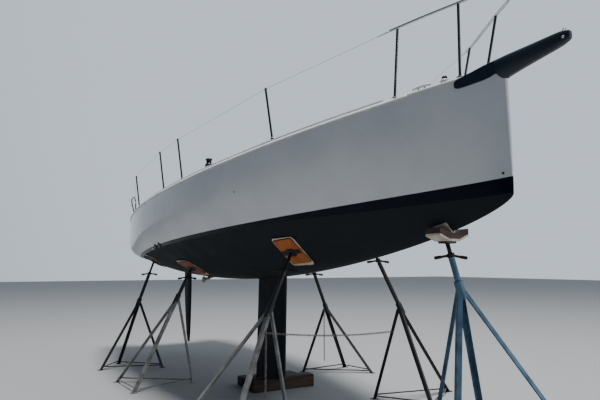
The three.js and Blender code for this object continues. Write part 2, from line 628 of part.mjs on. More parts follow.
// Jack stands. Columns: name, point on the hull (aft, side), pad (along, across, degrees turned), top of
// the legs, feet, finish.
const stands = [
  ['starboard_fore', [2670, -490], [340, 420, 10], [1610, -750, 1300],
    [[1120, -1630], [1950, -1360], [1580, -500]], 'greySteel'],
  ['starboard_aft', [5400, -810], [420, 400, 0], [-1120, -1010, 1286],
    [[-1610, -1780], [-770, -1700], [-1040, -770]], 'greySteel'],
  ['starboard_quarter', [7100, -980], [360, 320, 0], [-2790, -1230, 1140],
    [[-2700, -1850], [-3170, -1480], [-2450, -870]], 'blackSteel'],
  ['port_fore', [2900, 730], [360, 340, 0], [1420, 1200, 1235],
    [[1080, 1030], [1760, 1420], [1240, 2200]], 'blackSteel'],
  ['port_aft', [4850, 960], [360, 340, 0], [-660, 1340, 1090],
    [[-930, 1070], [-960, 1920], [-310, 2020]], 'blackSteel'],
  ['bow', [730, 0], null, [3600, 80, 1590],
    [[3200, 40], [3900, -340], [3300, 680], [4100, 1100]], 'blueSteel'],
];
const hullWorld = worldSolid(hullTool);
const pad = { thick: 22, pressed: 3 }; // pressed: how far the hull sinks in
const saddle = { length: 180, arm: 165, rise: 44, flat: 55, thick: 68, pressed: 3 };
const flap = { length: 150, height: 110, thick: 14, side: 80 }; // boards on the hull over the saddle
const headBar = { length: 300, width: 60, thick: 12 };
const headPlate = { side: 110, thick: 8 };
const leg = { side: 46, thick: 6, heel: 18, headGap: 55, shoe: 85, shoeThick: 6 };
const brace = { radius: 9, at: [0.03, 0.045] }; // at: how far up the two legs its ends are
const sleeve = { radius: 27, high: 0.66, collar: 39, collarLow: 130, collarHigh: 28 };
const screw = { radius: 15, handleAt: 0.7, nut: 34, nutHalf: 19, arm: 9.5, reach: 130, droop: 22, knob: 12.5 };
const handleWay = new THREE.Vector3(0.48, 0.877, 0);
const nextFoot = { 3: [1, 2, 0], 4: [1, 3, 0, 2] };

// The height of the hull's bottom at a side distance, found from its section.
function bottomHeight(share, side) {
  let low = -canoeDepth(share);
  let high = 0;
  for (let pass = 0; pass < 30; pass += 1) {
    const middle = (low + high) / 2;
    if (hullBreadth(share, middle) < Math.abs(side)) low = middle;
    else high = middle;
  }
  return low;
}

function hullPoint(aft, side) {
  return boatPoint(aft, side, bottomHeight(aft / hullLength, side)).applyMatrix4(boatMatrix);
}

function hullNormal(aft, side) {
  if (side === 0) return new THREE.Vector3(0, 0, -1);
  const along = hullPoint(aft - 60, side).sub(hullPoint(aft + 60, side));
  const across = hullPoint(aft, side + 30).sub(hullPoint(aft, side - 30));
  return across.cross(along).normalize();
}

// A box whose lower face looks along a direction, turned about it by some degrees.
function facingBox(size, outward, centre, turn = 0) {
  const box = new THREE.BoxGeometry(...size);
  box.rotateZ(THREE.MathUtils.degToRad(turn));
  box.applyQuaternion(new THREE.Quaternion().setFromUnitVectors(new THREE.Vector3(0, 0, -1), outward));
  box.translate(...centre.toArray());
  return toSolid(box);
}

// The part of a direction that is square to a line.
function squareTo(direction, start, end) {
  const along = end.clone().sub(start).normalize();
  return direction.clone().addScaledVector(along, -direction.dot(along)).normalize();
}

// Angle iron between two points, with its heel turned outward.
function angleBar(start, end, outward) {
  const out = squareTo(outward, start, end);
  const cross = end.clone().sub(start).normalize().cross(out);
  const first = cross.clone().sub(out).normalize();
  const second = cross.clone().negate().sub(out).normalize();
  const corners = [[0, 0], [leg.side, 0], [leg.side, leg.thick], [leg.thick, leg.thick],
    [leg.thick, leg.side], [0, leg.side]];
  return loft([start, end].map((point) => {
    const heel = point.clone().addScaledVector(out, leg.heel);
    return corners.map(([a, b]) => heel.clone().addScaledVector(first, a).addScaledVector(second, b));
  }));
}

const yard = { side: 12000, deep: 400 };
const underground = new THREE.BoxGeometry(yard.side, yard.side, yard.deep);
underground.translate(0, 0, (leg.shoeThick - yard.deep) / 2);
const belowShoes = toSolid(underground);

function standFrame(head, outward, apex, feet, plates) {
  const post = head.clone().addScaledVector(outward, headBar.thick + 2);
  const rise = post.clone().sub(apex).normalize();
  const onPost = (share, shift = 0) => apex.clone().lerp(post, share).addScaledVector(rise, shift);
  const handle = onPost(screw.handleAt);
  const parts = [...plates,
    bar(onPost(0), onPost(sleeve.high), sleeve.radius, sleeve.radius, 8),
    bar(onPost(0, -sleeve.collarLow), onPost(0, sleeve.collarHigh), sleeve.collar, sleeve.collar, 8),
    bar(onPost(sleeve.high - 0.05), post, screw.radius, screw.radius, 8),
    bar(onPost(screw.handleAt, -screw.nutHalf), onPost(screw.handleAt, screw.nutHalf),
      screw.nut, screw.nut, 6)];
  for (const hand of [1, -1]) {
    const end = handle.clone().addScaledVector(handleWay, hand * screw.reach);
    end.z -= screw.droop;
    const back = handle.clone().sub(end).normalize();
    parts.push(bar(handle, end, screw.arm, screw.arm, 4));
    parts.push(bar(end.clone().addScaledVector(back, 15), end.clone().addScaledVector(back, -15),
      screw.knob, screw.knob, 4));
  }
  const centre = feet.reduce((sum, [x, y]) => sum.add(new THREE.Vector3(x, y, 0)), new THREE.Vector3())
    .divideScalar(feet.length);
  const footPoint = (index) => new THREE.Vector3(feet[index][0], feet[index][1], 0);
  const braceEnd = (index, share) => {
    const foot = footPoint(index);
    return foot.clone().lerp(apex, share)
      .addScaledVector(squareTo(foot.clone().sub(centre), foot, apex), leg.heel - leg.thick);
  };
  feet.forEach((_, index) => {
    const foot = footPoint(index);
    const shoe = new THREE.BoxGeometry(leg.shoe, leg.shoe, leg.shoeThick);
    shoe.translate(foot.x, foot.y, leg.shoeThick / 2);
    parts.push(toSolid(shoe));
    const legTop = apex.clone().addScaledVector(foot.clone().sub(apex).normalize(), leg.headGap);
    parts.push(angleBar(foot, legTop, foot.clone().sub(centre)).subtract(belowShoes));
    const other = nextFoot[feet.length][index];
    parts.push(bar(braceEnd(index, brace.at[0]), braceEnd(other, brace.at[1]), brace.radius, brace.radius, 4));
  });
  return joinAll(parts);
}

// The bow stand's wooden saddle: a shallow V across the keel, and a board leaning on the hull at each side.
function bowSaddle(touch, aft) {
  const section = new THREE.Shape([[-saddle.arm, saddle.rise], [-saddle.arm, saddle.rise - saddle.thick],
    [-saddle.flat, -saddle.thick], [saddle.flat, -saddle.thick], [saddle.arm, saddle.rise - saddle.thick],
    [saddle.arm, saddle.rise], [0, 0]].map((corner) => new THREE.Vector2(...corner)));
  const shape = new THREE.ExtrudeGeometry(section, { depth: saddle.length, steps: 1, bevelEnabled: false });
  shape.translate(0, 0, -saddle.length / 2);
  shape.applyMatrix4(new THREE.Matrix4().makeBasis(new THREE.Vector3(0, 1, 0), new THREE.Vector3(0, 0, 1),
    new THREE.Vector3(1, 0, 0)));
  shape.translate(touch.x, touch.y, touch.z + saddle.pressed);
  const boards = [1, -1].map((hand) => {
    const outward = hullNormal(aft, hand * flap.side);
    const middle = hullPoint(aft, hand * flap.side / 2).addScaledVector(outward, flap.thick / 2 - pad.pressed);
    return facingBox([flap.length, flap.height, flap.thick], outward, middle);
  });
  return joinAll([toSolid(shape), ...boards]);
}

for (const [label, [aft, side], padSize, apexPlace, feet, finish] of stands) {
  const apex = new THREE.Vector3(...apexPlace);
  const touch = hullPoint(aft, side);
  const outward = hullNormal(aft, side);
  const thick = (padSize ? pad.thick - pad.pressed : saddle.thick - saddle.pressed) + fitGap;
  const head = touch.clone().addScaledVector(outward, thick);
  const plates = [facingBox([headPlate.side, headPlate.side, headPlate.thick], outward,
    head.clone().addScaledVector(outward, headBar.thick + headPlate.thick / 2 - 2), padSize?.[2])];
  let padSolid;
  if (padSize) {
    const [along, across, turn] = padSize;
    const middle = touch.clone().addScaledVector(outward, pad.thick / 2 - pad.pressed);
    padSolid = facingBox([along, across, pad.thick], outward, middle, turn);
    plates.push(facingBox([headBar.length, headBar.width, headBar.thick], outward,
      head.clone().addScaledVector(outward, headBar.thick / 2), turn));
  } else {
    padSolid = bowSaddle(touch, aft);
    plates.push(facingBox([headPlate.side, headPlate.side, headBar.thick], outward,
      head.clone().addScaledVector(outward, headBar.thick / 2)));
  }
  place(group, `stand_pad_${label}`, padSolid.subtract(hullWorld), 'plywood');
  place(group, `stand_frame_${label}`, standFrame(head, outward, apex, feet, plates), finish);
}

export default group;
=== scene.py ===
import json
import math

import bmesh
import bpy
from mathutils import Matrix, Vector


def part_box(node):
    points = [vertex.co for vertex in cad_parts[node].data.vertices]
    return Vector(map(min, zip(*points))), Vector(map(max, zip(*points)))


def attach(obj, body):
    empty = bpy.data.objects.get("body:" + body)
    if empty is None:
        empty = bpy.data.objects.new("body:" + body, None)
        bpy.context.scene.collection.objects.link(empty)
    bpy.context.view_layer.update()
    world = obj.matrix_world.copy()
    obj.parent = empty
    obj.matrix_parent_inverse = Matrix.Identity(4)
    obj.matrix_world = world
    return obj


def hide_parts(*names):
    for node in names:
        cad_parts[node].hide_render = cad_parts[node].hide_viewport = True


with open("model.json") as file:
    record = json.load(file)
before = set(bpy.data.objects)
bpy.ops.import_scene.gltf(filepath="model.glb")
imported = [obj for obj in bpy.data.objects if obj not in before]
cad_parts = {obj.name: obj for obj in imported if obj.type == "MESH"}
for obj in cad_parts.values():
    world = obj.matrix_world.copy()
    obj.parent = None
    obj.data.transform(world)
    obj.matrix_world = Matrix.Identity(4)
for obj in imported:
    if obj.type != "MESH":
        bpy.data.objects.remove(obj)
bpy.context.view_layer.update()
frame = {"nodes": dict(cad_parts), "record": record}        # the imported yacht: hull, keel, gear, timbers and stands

scene = bpy.context.scene
nodes = frame["nodes"]
bodyOf = {node: body for body, members in frame["record"]["behaviour"]["bodies"].items() for node in members}
slotOf = {row["node"]: row["material_slot"] for row in frame["record"]["subparts"]}
hands = {"port": 1, "starboard": -1}

# The boat frame: aft of the stem foot, out to port, height above the boot top, in metres
boat = {"trim": 3.29, "stemFoot": (4.27, 0, 2.42), "length": 8.7, "stemRake": 0.03, "rakeShare": 0.1,
        "camber": 0.032, "deckEdge": 0.03}
boatMatrix = Matrix.Translation(boat["stemFoot"]) @ Matrix.Rotation(-math.radians(boat["trim"]), 4, "Y")
boatTurn = boatMatrix.to_3x3()
boatUp = (boatTurn @ Vector((0, 0, 1))).normalized()
boatAft = (boatTurn @ Vector((-1, 0, 0))).normalized()

# Lines of the hull. Each is base + stem*(1-u) + gain*(1-entry^power)^root - fall*run^runPower,
# where entry fades from 1 at the stem to 0 at its share, and run rises from its share to the transom.
hullLines = {
    "sheerHeight": {"base": 0.882, "stem": 0, "entry": 0.8, "power": 2.6, "root": 1, "gain": -0.14,
                    "run": 0.8, "runPower": 2, "fall": -0.03},
    "sheerBreadth": {"base": 0, "stem": 0.02, "entry": 0.72, "power": 2.1, "root": 0.909, "gain": 1.385,
                     "run": 0.72, "runPower": 1.8, "fall": 0.27},
    "bootBreadth": {"base": 0, "stem": 0.008, "entry": 0.68, "power": 2, "root": 1.25, "gain": 1.232,
                    "run": 0.68, "runPower": 2, "fall": 0.344},
    "canoeDepth": {"base": 0.135, "stem": 0, "entry": 0.48, "power": 2, "root": 0.64, "gain": 0.468,
                   "run": 0.48, "runPower": 2.2, "fall": 0.5},
}
bilge = {"base": 1.25, "fore": 0.7, "foreShare": 0.45, "aft": 0.25}


def clamp(value):
    return min(1.0, max(0.0, value))


def boatPoint(aft, side, height):
    return boatMatrix @ Vector((-aft, side, height))


def hullLine(name, aft):
    row, share = hullLines[name], aft / boat["length"]
    entry = clamp(1 - share / row["entry"])
    run = clamp((share - row["run"]) / (1 - row["run"]))
    return (row["base"] + row["stem"] * (1 - share) + row["gain"] * (1 - entry ** row["power"]) ** row["root"]
            - row["fall"] * run ** row["runPower"])


def halfBreadth(aft, height):
    share, sheer, depth = aft / boat["length"], hullLine("sheerHeight", aft), hullLine("canoeDepth", aft)
    breadth = hullLine("sheerBreadth", aft)
    late = clamp((share - bilge["foreShare"]) / (1 - bilge["foreShare"]))
    fullness = bilge["base"] + bilge["fore"] * clamp(share / bilge["foreShare"]) + bilge["aft"] * late
    climb = clamp((height + depth) / (sheer + depth))
    bootShare = (hullLine("bootBreadth", aft) / breadth) ** fullness
    flare = math.log(1 - bootShare) / math.log(1 - depth / (sheer + depth))
    return breadth * (1 - (1 - climb) ** flare) ** (1 / fullness)


def stemLead(aft, height):
    rake = boat["stemRake"] * height / hullLines["sheerHeight"]["base"]
    return rake * clamp(1 - aft / (boat["rakeShare"] * boat["length"]))


def deckHeight(aft, side):
    across = clamp(abs(side) / hullLine("sheerBreadth", aft))
    return hullLine("sheerHeight", aft) + boat["camber"] * (1 - across ** 2)


def deckPoint(aft, side, above=0.0):
    return boatPoint(aft, side, deckHeight(aft, side) + above)


def readTable(table, value):
    # smooth values between the rows, without overshoot
    last = len(table) - 1
    at = min(last - 1, max(0, sum(row[0] <= value for row in table) - 1))
    width = table[at + 1][0] - table[at][0]
    t = clamp((value - table[at][0]) / width)

    def secant(i, column):
        return (table[i + 1][column] - table[i][column]) / (table[i + 1][0] - table[i][0])

    def slope(i, column):
        if i in (0, last):
            return secant(min(i, last - 1), column)
        before, after = secant(i - 1, column), secant(i, column)
        return 0 if before * after <= 0 else 2 * before * after / (before + after)

    found = []
    for column in range(1, len(table[0])):
        low, high = table[at][column], table[at + 1][column]
        lowSlope, highSlope = slope(at, column) * width, slope(at + 1, column) * width
        found.append((2 * t ** 3 - 3 * t ** 2 + 1) * low + (t ** 3 - 2 * t ** 2 + t) * lowSlope
                     + (3 * t ** 2 - 2 * t ** 3) * high + (t ** 3 - t ** 2) * highSlope)
    return found


def smoothPath(points, steps=8):
    # a curve through the points
    ends = [2 * points[0] - points[1], *points, 2 * points[-1] - points[-2]]
    path = []
    for a, b, c, d in zip(ends, ends[1:], ends[2:], ends[3:]):
        for step in range(steps):
            t = step / steps
            path.append(0.5 * (2 * b + (c - a) * t + (2 * a - 5 * b + 4 * c - d) * t ** 2
                               + (3 * b - a - 3 * c + d) * t ** 3))
    return [*path, points[-1]]


# Nodes, for materials and for geometry: one call adds a node with its settings and links
def nodeAdder(tree):
    def add(kind, inputs=(), **settings):
        families = ("ShaderNode", "GeometryNode", "FunctionNode", "Node")
        made = tree.nodes.new(next(family + kind for family in families if hasattr(bpy.types, family + kind)))
        for name, value in settings.items():
            setattr(made, name, value)
        for socket, value in (inputs if isinstance(inputs, dict) else dict(enumerate(inputs))).items():
            for source in value if isinstance(value, list) else [value]:
                if isinstance(source, bpy.types.Node):
                    source = source.outputs[0]
                if isinstance(source, bpy.types.NodeSocket):
                    tree.links.new(source, made.inputs[socket])
                elif source is not None:
                    made.inputs[socket].default_value = source
        return made
    return add


def toShader(tree, socket, source):
    tree.links.new(source, tree.nodes["Principled BSDF"].inputs[socket])


def srgb(text):
    parts = [int(text[at:at + 2], 16) / 255 for at in (1, 3, 5)]
    return (*(p / 12.92 if p <= 0.04045 else ((p + 0.055) / 1.055) ** 2.4 for p in parts), 1)


def newMaterial(name, colour, roughness, metallic=0, sockets=None):
    made = bpy.data.materials.new(name)
    made.use_nodes = True
    uniform = {"Base Color": srgb(colour), "Roughness": roughness, "Metallic": metallic, **(sockets or {})}
    for socket, value in uniform.items():
        made.node_tree.nodes["Principled BSDF"].inputs[socket].default_value = value
    made.diffuse_color = srgb(colour)
    return made


def weathered(name, tones, patch, rough, grain=0.0, grainSize=0.01, stretch=(1, 1, 1), spread=(0.35, 0.65),
              metallic=0, sockets=None):
    # two tones in patches of a real size in metres, roughness that follows them, and a fine relief
    made = newMaterial(name, tones[0], sum(rough) / 2, metallic, sockets)
    tree = made.node_tree
    add = nodeAdder(tree)
    place = add("TexCoord").outputs["Object"]
    place = add("Mapping", {"Vector": place, "Scale": stretch}, name="place")
    cloud = add("TexNoise", {"Vector": place, "Scale": 1 / patch, "Detail": 6, "Roughness": 0.6})
    share = add("MapRange", {"Value": cloud, "From Min": spread[0], "From Max": spread[1]})
    blend = add("Mix", {0: share, 6: srgb(tones[0]), 7: srgb(tones[1])}, data_type="RGBA", name="tones")
    toShader(tree, "Base Color", blend.outputs[2])
    dull = add("MapRange", {"Value": share, "To Min": rough[0], "To Max": rough[1]})
    toShader(tree, "Roughness", dull.outputs[0])
    if grain:
        fine = add("TexNoise", {"Vector": place, "Scale": 1 / grainSize, "Detail": 3})
        relief = add("Bump", {"Height": fine, "Distance": grain, "Strength": 0.6})
        toShader(tree, "Normal", relief.outputs[0])
    return made


# Finishes. After the name: two tones, patch size, roughness, depth of relief, grain size of the relief.
# Polished white gelcoat over glass fibre: hard gloss, faint print-through, a little road dust
gelcoat = weathered("topsides_polished_gelcoat", ("#dfe1e2", "#cfd3d6"), 0.9, (0.1, 0.2), 0.0006, 0.25,
                    sockets={"IOR": 1.5, "Coat Weight": 0.3})
# Navy two-pack paint: deep colour under a hard gloss
bootPaint = weathered("boot_stripe_navy_paint", ("#060c1b", "#0a1224"), 0.5, (0.2, 0.3),
                      sockets={"IOR": 1.45, "Specular IOR Level": 0.1})
# Rolled self-eroding bottom paint: dead matt, mottled by the roller, greener where it is thin
bottomPaint = weathered("rolled_antifouling", ("#161b1f", "#20272a"), 0.22, (0.7, 0.92), 0.0008, 0.03,
                        sockets={"IOR": 1.4, "Specular IOR Level": 0.4})
# Satin moulded gelcoat of deck and cabin
deckGelcoat = weathered("deck_satin_gelcoat", ("#e2e2de", "#d2d2cc"), 0.5, (0.28, 0.45), 0.0003, 0.04,
                        sockets={"IOR": 1.5})
# Non-slip: the same gelcoat with pressed points, grey and matt; the points are drawn at 9 mm to show
nonSlip = weathered("moulded_non_slip", ("#bfc2c1", "#acb0af"), 0.3, (0.6, 0.8), sockets={"IOR": 1.5})
tree = nonSlip.node_tree
add = nodeAdder(tree)
points = add("TexVoronoi", {"Vector": tree.nodes["place"], "Scale": 1 / 0.009, "Randomness": 0.0})
pressed = add("Bump", {"Height": points, "Distance": 0.0012}, invert=True)
toShader(tree, "Normal", pressed.outputs[0])
# Smoked acrylic sheet: dark, hard, mirror smooth
acrylic = weathered("smoked_acrylic", ("#12161a", "#1b2024"), 0.25, (0.05, 0.12),
                    sockets={"IOR": 1.49, "Coat Weight": 0.4})
# Carbon laminate under clear lacquer: near black, twill drawn at 12 mm so that it shows
carbon = weathered("lacquered_carbon", ("#141b26", "#1c2431"), 0.2, (0.3, 0.43),
                   sockets={"Specular IOR Level": 0.35, "Coat Weight": 0.15, "Coat Roughness": 0.15})
tree = carbon.node_tree
add = nodeAdder(tree)
twill = add("TexWave", {"Vector": tree.nodes["place"], "Scale": 26, "Distortion": 0},
            bands_direction="DIAGONAL")
woven = add("Mix", {0: twill.outputs["Fac"], 6: tree.nodes["tones"].outputs[2], 7: srgb("#202936")},
            data_type="RGBA")
toShader(tree, "Base Color", woven.outputs[2])
# Polished 316 stainless tube: bright mirror with fine polishing marks
stainless = weathered("polished_stainless", ("#c3c7ca", "#a9adb1"), 0.12, (0.1, 0.24), 0.00008, 0.006,
                      metallic=1)
# Tube of legs, stanchions and quarter rails: the same polished steel made dark and dull as painted shade, for the
# near side in shade against the bright sky
shadeDarkenedTube = weathered("painted_shade_stainless_tube", ("#5f6469", "#4b4f53"), 0.12, (0.22, 0.38), 0.00008,
                       0.006, metallic=1)
# Anodised aluminium, clear and black: satin metal
alloy = weathered("clear_anodised_alloy", ("#cfd3d6", "#b4b9bd"), 0.1, (0.4, 0.52), 0.00006, 0.004,
                  metallic=0.4)
blackAlloy = weathered("black_anodised_alloy", ("#141517", "#202225"), 0.1, (0.36, 0.5), 0.00006, 0.004,
                       metallic=0.6)
# Bronze shaft gear: dull brown gold with a greenish film
bronze = weathered("dull_bronze", ("#93774a", "#6d6548"), 0.05, (0.35, 0.6), 0.0002, 0.006, metallic=1)
# Sawn softwood blocking: brown grey, rough along the grain, which runs across the boat
timber = weathered("weathered_sawn_timber", ("#4a3b2f", "#261d17"), 0.05, (0.78, 0.92), 0.002, 0.012,
                   (1, 0.06, 1))
# Plywood pads: orange, red-brown or dark face veneer, worn pale in streaks, rough
padTones = {"orange": ("#c4702f", "#a5582a"), "red": ("#a8614a", "#7a4436"), "dark": ("#4a3428", "#2f231c")}
padFaces = {tint: weathered(f"{tint}_plywood_face", tones, 0.12, (0.65, 0.85), 0.0006, 0.01, (1, 0.25, 1))
            for tint, tones in padTones.items()}
paleWood = weathered("pale_worn_edge", ("#ddd5c5", "#b3a68f"), 0.08, (0.7, 0.88), 0.0006, 0.008)
# Stand steel: brushed paint over steel, rubbed and rusting where it is handled
standPaint = {"grey": ("#8d8f8c", "#64645f"), "black": ("#1d2022", "#2e2c2a"), "blue": ("#4c6f86", "#2f4b61")}
standSteel = {}
for tint, tones in standPaint.items():
    standSteel[tint] = weathered(f"{tint}_yard_paint_on_steel", tones, 0.14, (0.45, 0.7), 0.0004, 0.008,
                                 metallic=0.2)
    tree = standSteel[tint].node_tree
    add = nodeAdder(tree)
    rust = add("TexNoise", {"Vector": tree.nodes["place"], "Scale": 1 / 0.07, "Detail": 8, "Roughness": 0.7})
    worn = add("MapRange", {"Value": rust, "From Min": 0.6, "From Max": 0.68})
    rusty = add("Mix", {0: worn, 6: tree.nodes["tones"].outputs[2], 7: srgb("#5f3620")}, data_type="RGBA")
    toShader(tree, "Base Color", rusty.outputs[2])
# Screw posts, handles and chain: bare steel, dark with grease and rust
bareSteel = weathered("greased_bare_steel", ("#1b1a1a", "#3a2c24"), 0.06, (0.4, 0.7), 0.0003, 0.005,
                      metallic=0.6)
# Galvanised chain: dull pale zinc, rusting in the bights
chainSteel = weathered("galvanised_chain", ("#94938f", "#6f6257"), 0.05, (0.5, 0.75), metallic=0.4)
# Black acetal and rubber: satin black mouldings
blackPlastic = weathered("black_acetal", ("#121212", "#1e1e1e"), 0.06, (0.4, 0.55), 0.0001, 0.004)
# Dark brown hardwood packing of the bow stand
brownWood = weathered("dark_hardwood_packing", ("#442a1c", "#29180f"), 0.08, (0.6, 0.8), 0.001, 0.01,
                      (1, 0.2, 1))
slotMaterials = {"topsides": gelcoat, "deck": deckGelcoat, "smoked_pane": acrylic, "black_alloy": blackAlloy,
                 "alloy": alloy, "stainless": stainless, "carbon": carbon, "antifouling": bottomPaint,
                 "bronze": bronze, "timber": timber, "plywood": padFaces["orange"],
                 **{f"{tint}_steel": steel for tint, steel in standSteel.items()}}
print("materials ready")


def newObject(name, data):
    made = bpy.data.objects.new(name, data)
    scene.collection.objects.link(made)
    return made


def finish(name, slot, pieces, *stands, body="yacht"):
    # one object made of all the pieces, named, in place of the solids that it stands for
    piece = joined(pieces) if isinstance(pieces, list) else pieces
    piece.name = piece.data.name = name
    if stands:
        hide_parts(*stands)
    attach(piece, body)


def shaded(mesh, angle):
    mesh.shade_smooth()
    mesh.set_sharp_from_angle(angle=math.radians(angle))


def reworked(mesh, change):
    work = bmesh.new()
    work.from_mesh(mesh)
    change(work)
    work.to_mesh(mesh)
    work.free()


def merged(work, near=2e-5):
    bmesh.ops.remove_doubles(work, verts=work.verts, dist=near)


def tidyMesh(mesh, angle=35):
    def clean(work):
        merged(work)
        bmesh.ops.dissolve_degenerate(work, edges=work.edges, dist=1e-6)
        bmesh.ops.recalc_face_normals(work, faces=work.faces)
    reworked(mesh, clean)
    shaded(mesh, angle)


def lofted(lofts, material, angle=30):
    # each loft is a row of closed rings of points, capped at both ends
    vertices, faces = [], []
    for rings in lofts:
        count, start = len(rings[0]), len(vertices)
        vertices += [point for ring in rings for point in ring]
        for low in range(start, start + count * (len(rings) - 1), count):
            for corner in range(count):
                after = (corner + 1) % count
                faces.append((low + corner, low + after, low + count + after, low + count + corner))
        faces.append(tuple(range(start + count - 1, start - 1, -1)))
        faces.append(tuple(range(len(vertices) - count, len(vertices))))
    mesh = bpy.data.meshes.new("loft")
    mesh.from_pydata(vertices, [], faces)
    mesh.materials.append(material)
    tidyMesh(mesh, angle)
    return newObject("loft", mesh)


def applied(piece):
    made = bpy.data.meshes.new_from_object(piece.evaluated_get(bpy.context.evaluated_depsgraph_get()))
    piece.modifiers.clear()
    piece.data = made


def carve(piece, lofts, operation="DIFFERENCE", angle=35):
    cutter = lofted(lofts, piece.data.materials[0], angle=35)
    cut = piece.modifiers.new("cut", "BOOLEAN")
    cut.operation, cut.solver, cut.object = operation, "EXACT", cutter
    applied(piece)
    bpy.data.objects.remove(cutter)
    shaded(piece.data, angle)


def bevelled(piece, width, segments=2):
    bevel = piece.modifiers.new("bevel", "BEVEL")
    bevel.width, bevel.segments = width, segments
    bevel.limit_method, bevel.angle_limit = "ANGLE", math.radians(30)
    bevel.harden_normals = False
    applied(piece)
    shaded(piece.data, 40)
    return piece


def softened(name, node, width):
    # a copy of a solid with its edges broken, in place of it
    def clean(work):
        merged(work)
        bmesh.ops.dissolve_limit(work, angle_limit=math.radians(0.5), verts=work.verts, edges=work.edges)
    mesh = nodes[node].data.copy()
    mesh.materials.clear()
    mesh.materials.append(slotMaterials[slotOf[node]])
    reworked(mesh, clean)
    finish(name, slotOf[node], bevelled(newObject(name, mesh), width), node, body=bodyOf[node])


def joined(pieces):
    materials = []
    work = bmesh.new()
    for piece in pieces:
        start = len(work.faces)
        work.from_mesh(piece.data)
        work.faces.ensure_lookup_table()
        for face in work.faces[start:]:
            material = piece.data.materials[face.material_index]
            if material not in materials:
                materials.append(material)
            face.material_index = materials.index(material)
        bpy.data.objects.remove(piece)
    mesh = bpy.data.meshes.new("joined")
    work.to_mesh(mesh)
    work.free()
    for material in materials:
        mesh.materials.append(material)
    return newObject("joined", mesh)


def block(aft, side, height):
    corners = [(side[out], height[up]) for out, up in ((0, 0), (1, 0), (1, 1), (0, 1))]
    return [[boatPoint(a, *corner) for corner in corners] for a in aft]


def about(middle, size):
    return middle - size / 2, middle + size / 2


def slab(outline, side):
    # an outline of (aft, height) points carried across from one side distance to the other
    return [[boatPoint(aft, s, height) for aft, height in outline] for s in side]


def roundedOutline(low, high, radius, steps=5):
    corners = [((high[0] - radius, high[1] - radius), 0), ((low[0] + radius, high[1] - radius), 90),
               ((low[0] + radius, low[1] + radius), 180), ((high[0] - radius, low[1] + radius), 270)]
    return [(x + radius * math.cos(math.radians(start + 90 * step / steps)),
             y + radius * math.sin(math.radians(start + 90 * step / steps)))
            for (x, y), start in corners for step in range(steps + 1)]


def turned(profile, foot, axis, steps=32):
    # rings about an axis from a foot point. Columns of the profile: radius, distance along the axis
    axis = axis.normalized()
    across = axis.orthogonal().normalized()
    other = axis.cross(across)
    return [[foot + axis * along + (across * math.cos(2 * math.pi * step / steps)
                                    + other * math.sin(2 * math.pi * step / steps)) * radius
             for step in range(steps)] for radius, along in profile]


# Geometry node trees
def newTree(name, inputs):
    tree = bpy.data.node_groups.new(name, "GeometryNodeTree")
    tree.interface.new_socket("Geometry", in_out="INPUT", socket_type="NodeSocketGeometry")
    for label, value in inputs.items():
        kind = {int: "Int", float: "Float"}.get(type(value), "Material")
        socket = tree.interface.new_socket(label, in_out="INPUT", socket_type="NodeSocket" + kind)
        if value is not None:
            socket.default_value = value
    tree.interface.new_socket("Geometry", in_out="OUTPUT", socket_type="NodeSocketGeometry")
    made = {socket.name: socket for socket in tree.nodes.new("NodeGroupInput").outputs}
    return tree, nodeAdder(tree), made


def addFormulas(add, made, rows):
    # each row: name, operation, inputs, which are numbers or names of what is made so far
    for name, operation, *inputs in rows:
        operation, _, clamped = operation.partition(" ")
        inputs = [made.get(value, value) for value in inputs]
        made[name] = add("Math", inputs, operation=operation, use_clamp=bool(clamped))


def fade(value, zero, one):
    # inputs of a formula row that runs from 0 to 1 between two values
    return "MULTIPLY_ADD clamped", value, 1 / (one - zero), -zero / (one - zero)


def endTree(add, geometry, sharpAngle=None, material=None):
    # the shared end of the trees: real mesh, smooth but for the sharp edges, and a finish
    geometry = add("RealizeInstances", [geometry])
    geometry = add("SetShadeSmooth", {"Geometry": geometry, "Shade Smooth": True})
    if sharpAngle:
        sharp = add("Compare", [add("InputMeshEdgeAngle"), math.radians(sharpAngle)],
                    operation="GREATER_THAN")
        geometry = add("SetShadeSmooth", {"Geometry": geometry, "Selection": sharp, "Shade Smooth": False},
                       domain="EDGE")
    if material:
        geometry = add("SetMaterial", {"Geometry": geometry, "Material": material})
    add("GroupOutput", [geometry])


def placeAlong(add, points, shape, way, turn=None):
    # instances of a shape on points, each turned along its own direction and then about it
    stance = add("AlignRotationToVector", {"Vector": way}, axis="Z")
    if turn:
        stance = add("RotateRotation", {"Rotation": stance, "Rotate By": turn}, rotation_space="LOCAL")
    return add("InstanceOnPoints", {"Points": points, "Instance": shape, "Rotation": stance})


def grown(tree, values, base=None):
    # runs a tree and keeps the result as a plain mesh
    piece = newObject("grown", base or bpy.data.meshes.new("grown"))
    grow = piece.modifiers.new("grow", "NODES")
    grow.node_group = tree
    for item in tree.interface.items_tree:
        if item.in_out == "INPUT" and item.name in values:
            grow[item.identifier] = values[item.name]
    applied(piece)
    mesh = piece.data
    used = [material for material in mesh.materials if material]
    order = [used.index(material) if material else 0 for material in mesh.materials]
    indices = [order[face.material_index] for face in mesh.polygons]
    mesh.materials.clear()
    for material in used:
        mesh.materials.append(material)
    mesh.polygons.foreach_set("material_index", indices)
    return piece


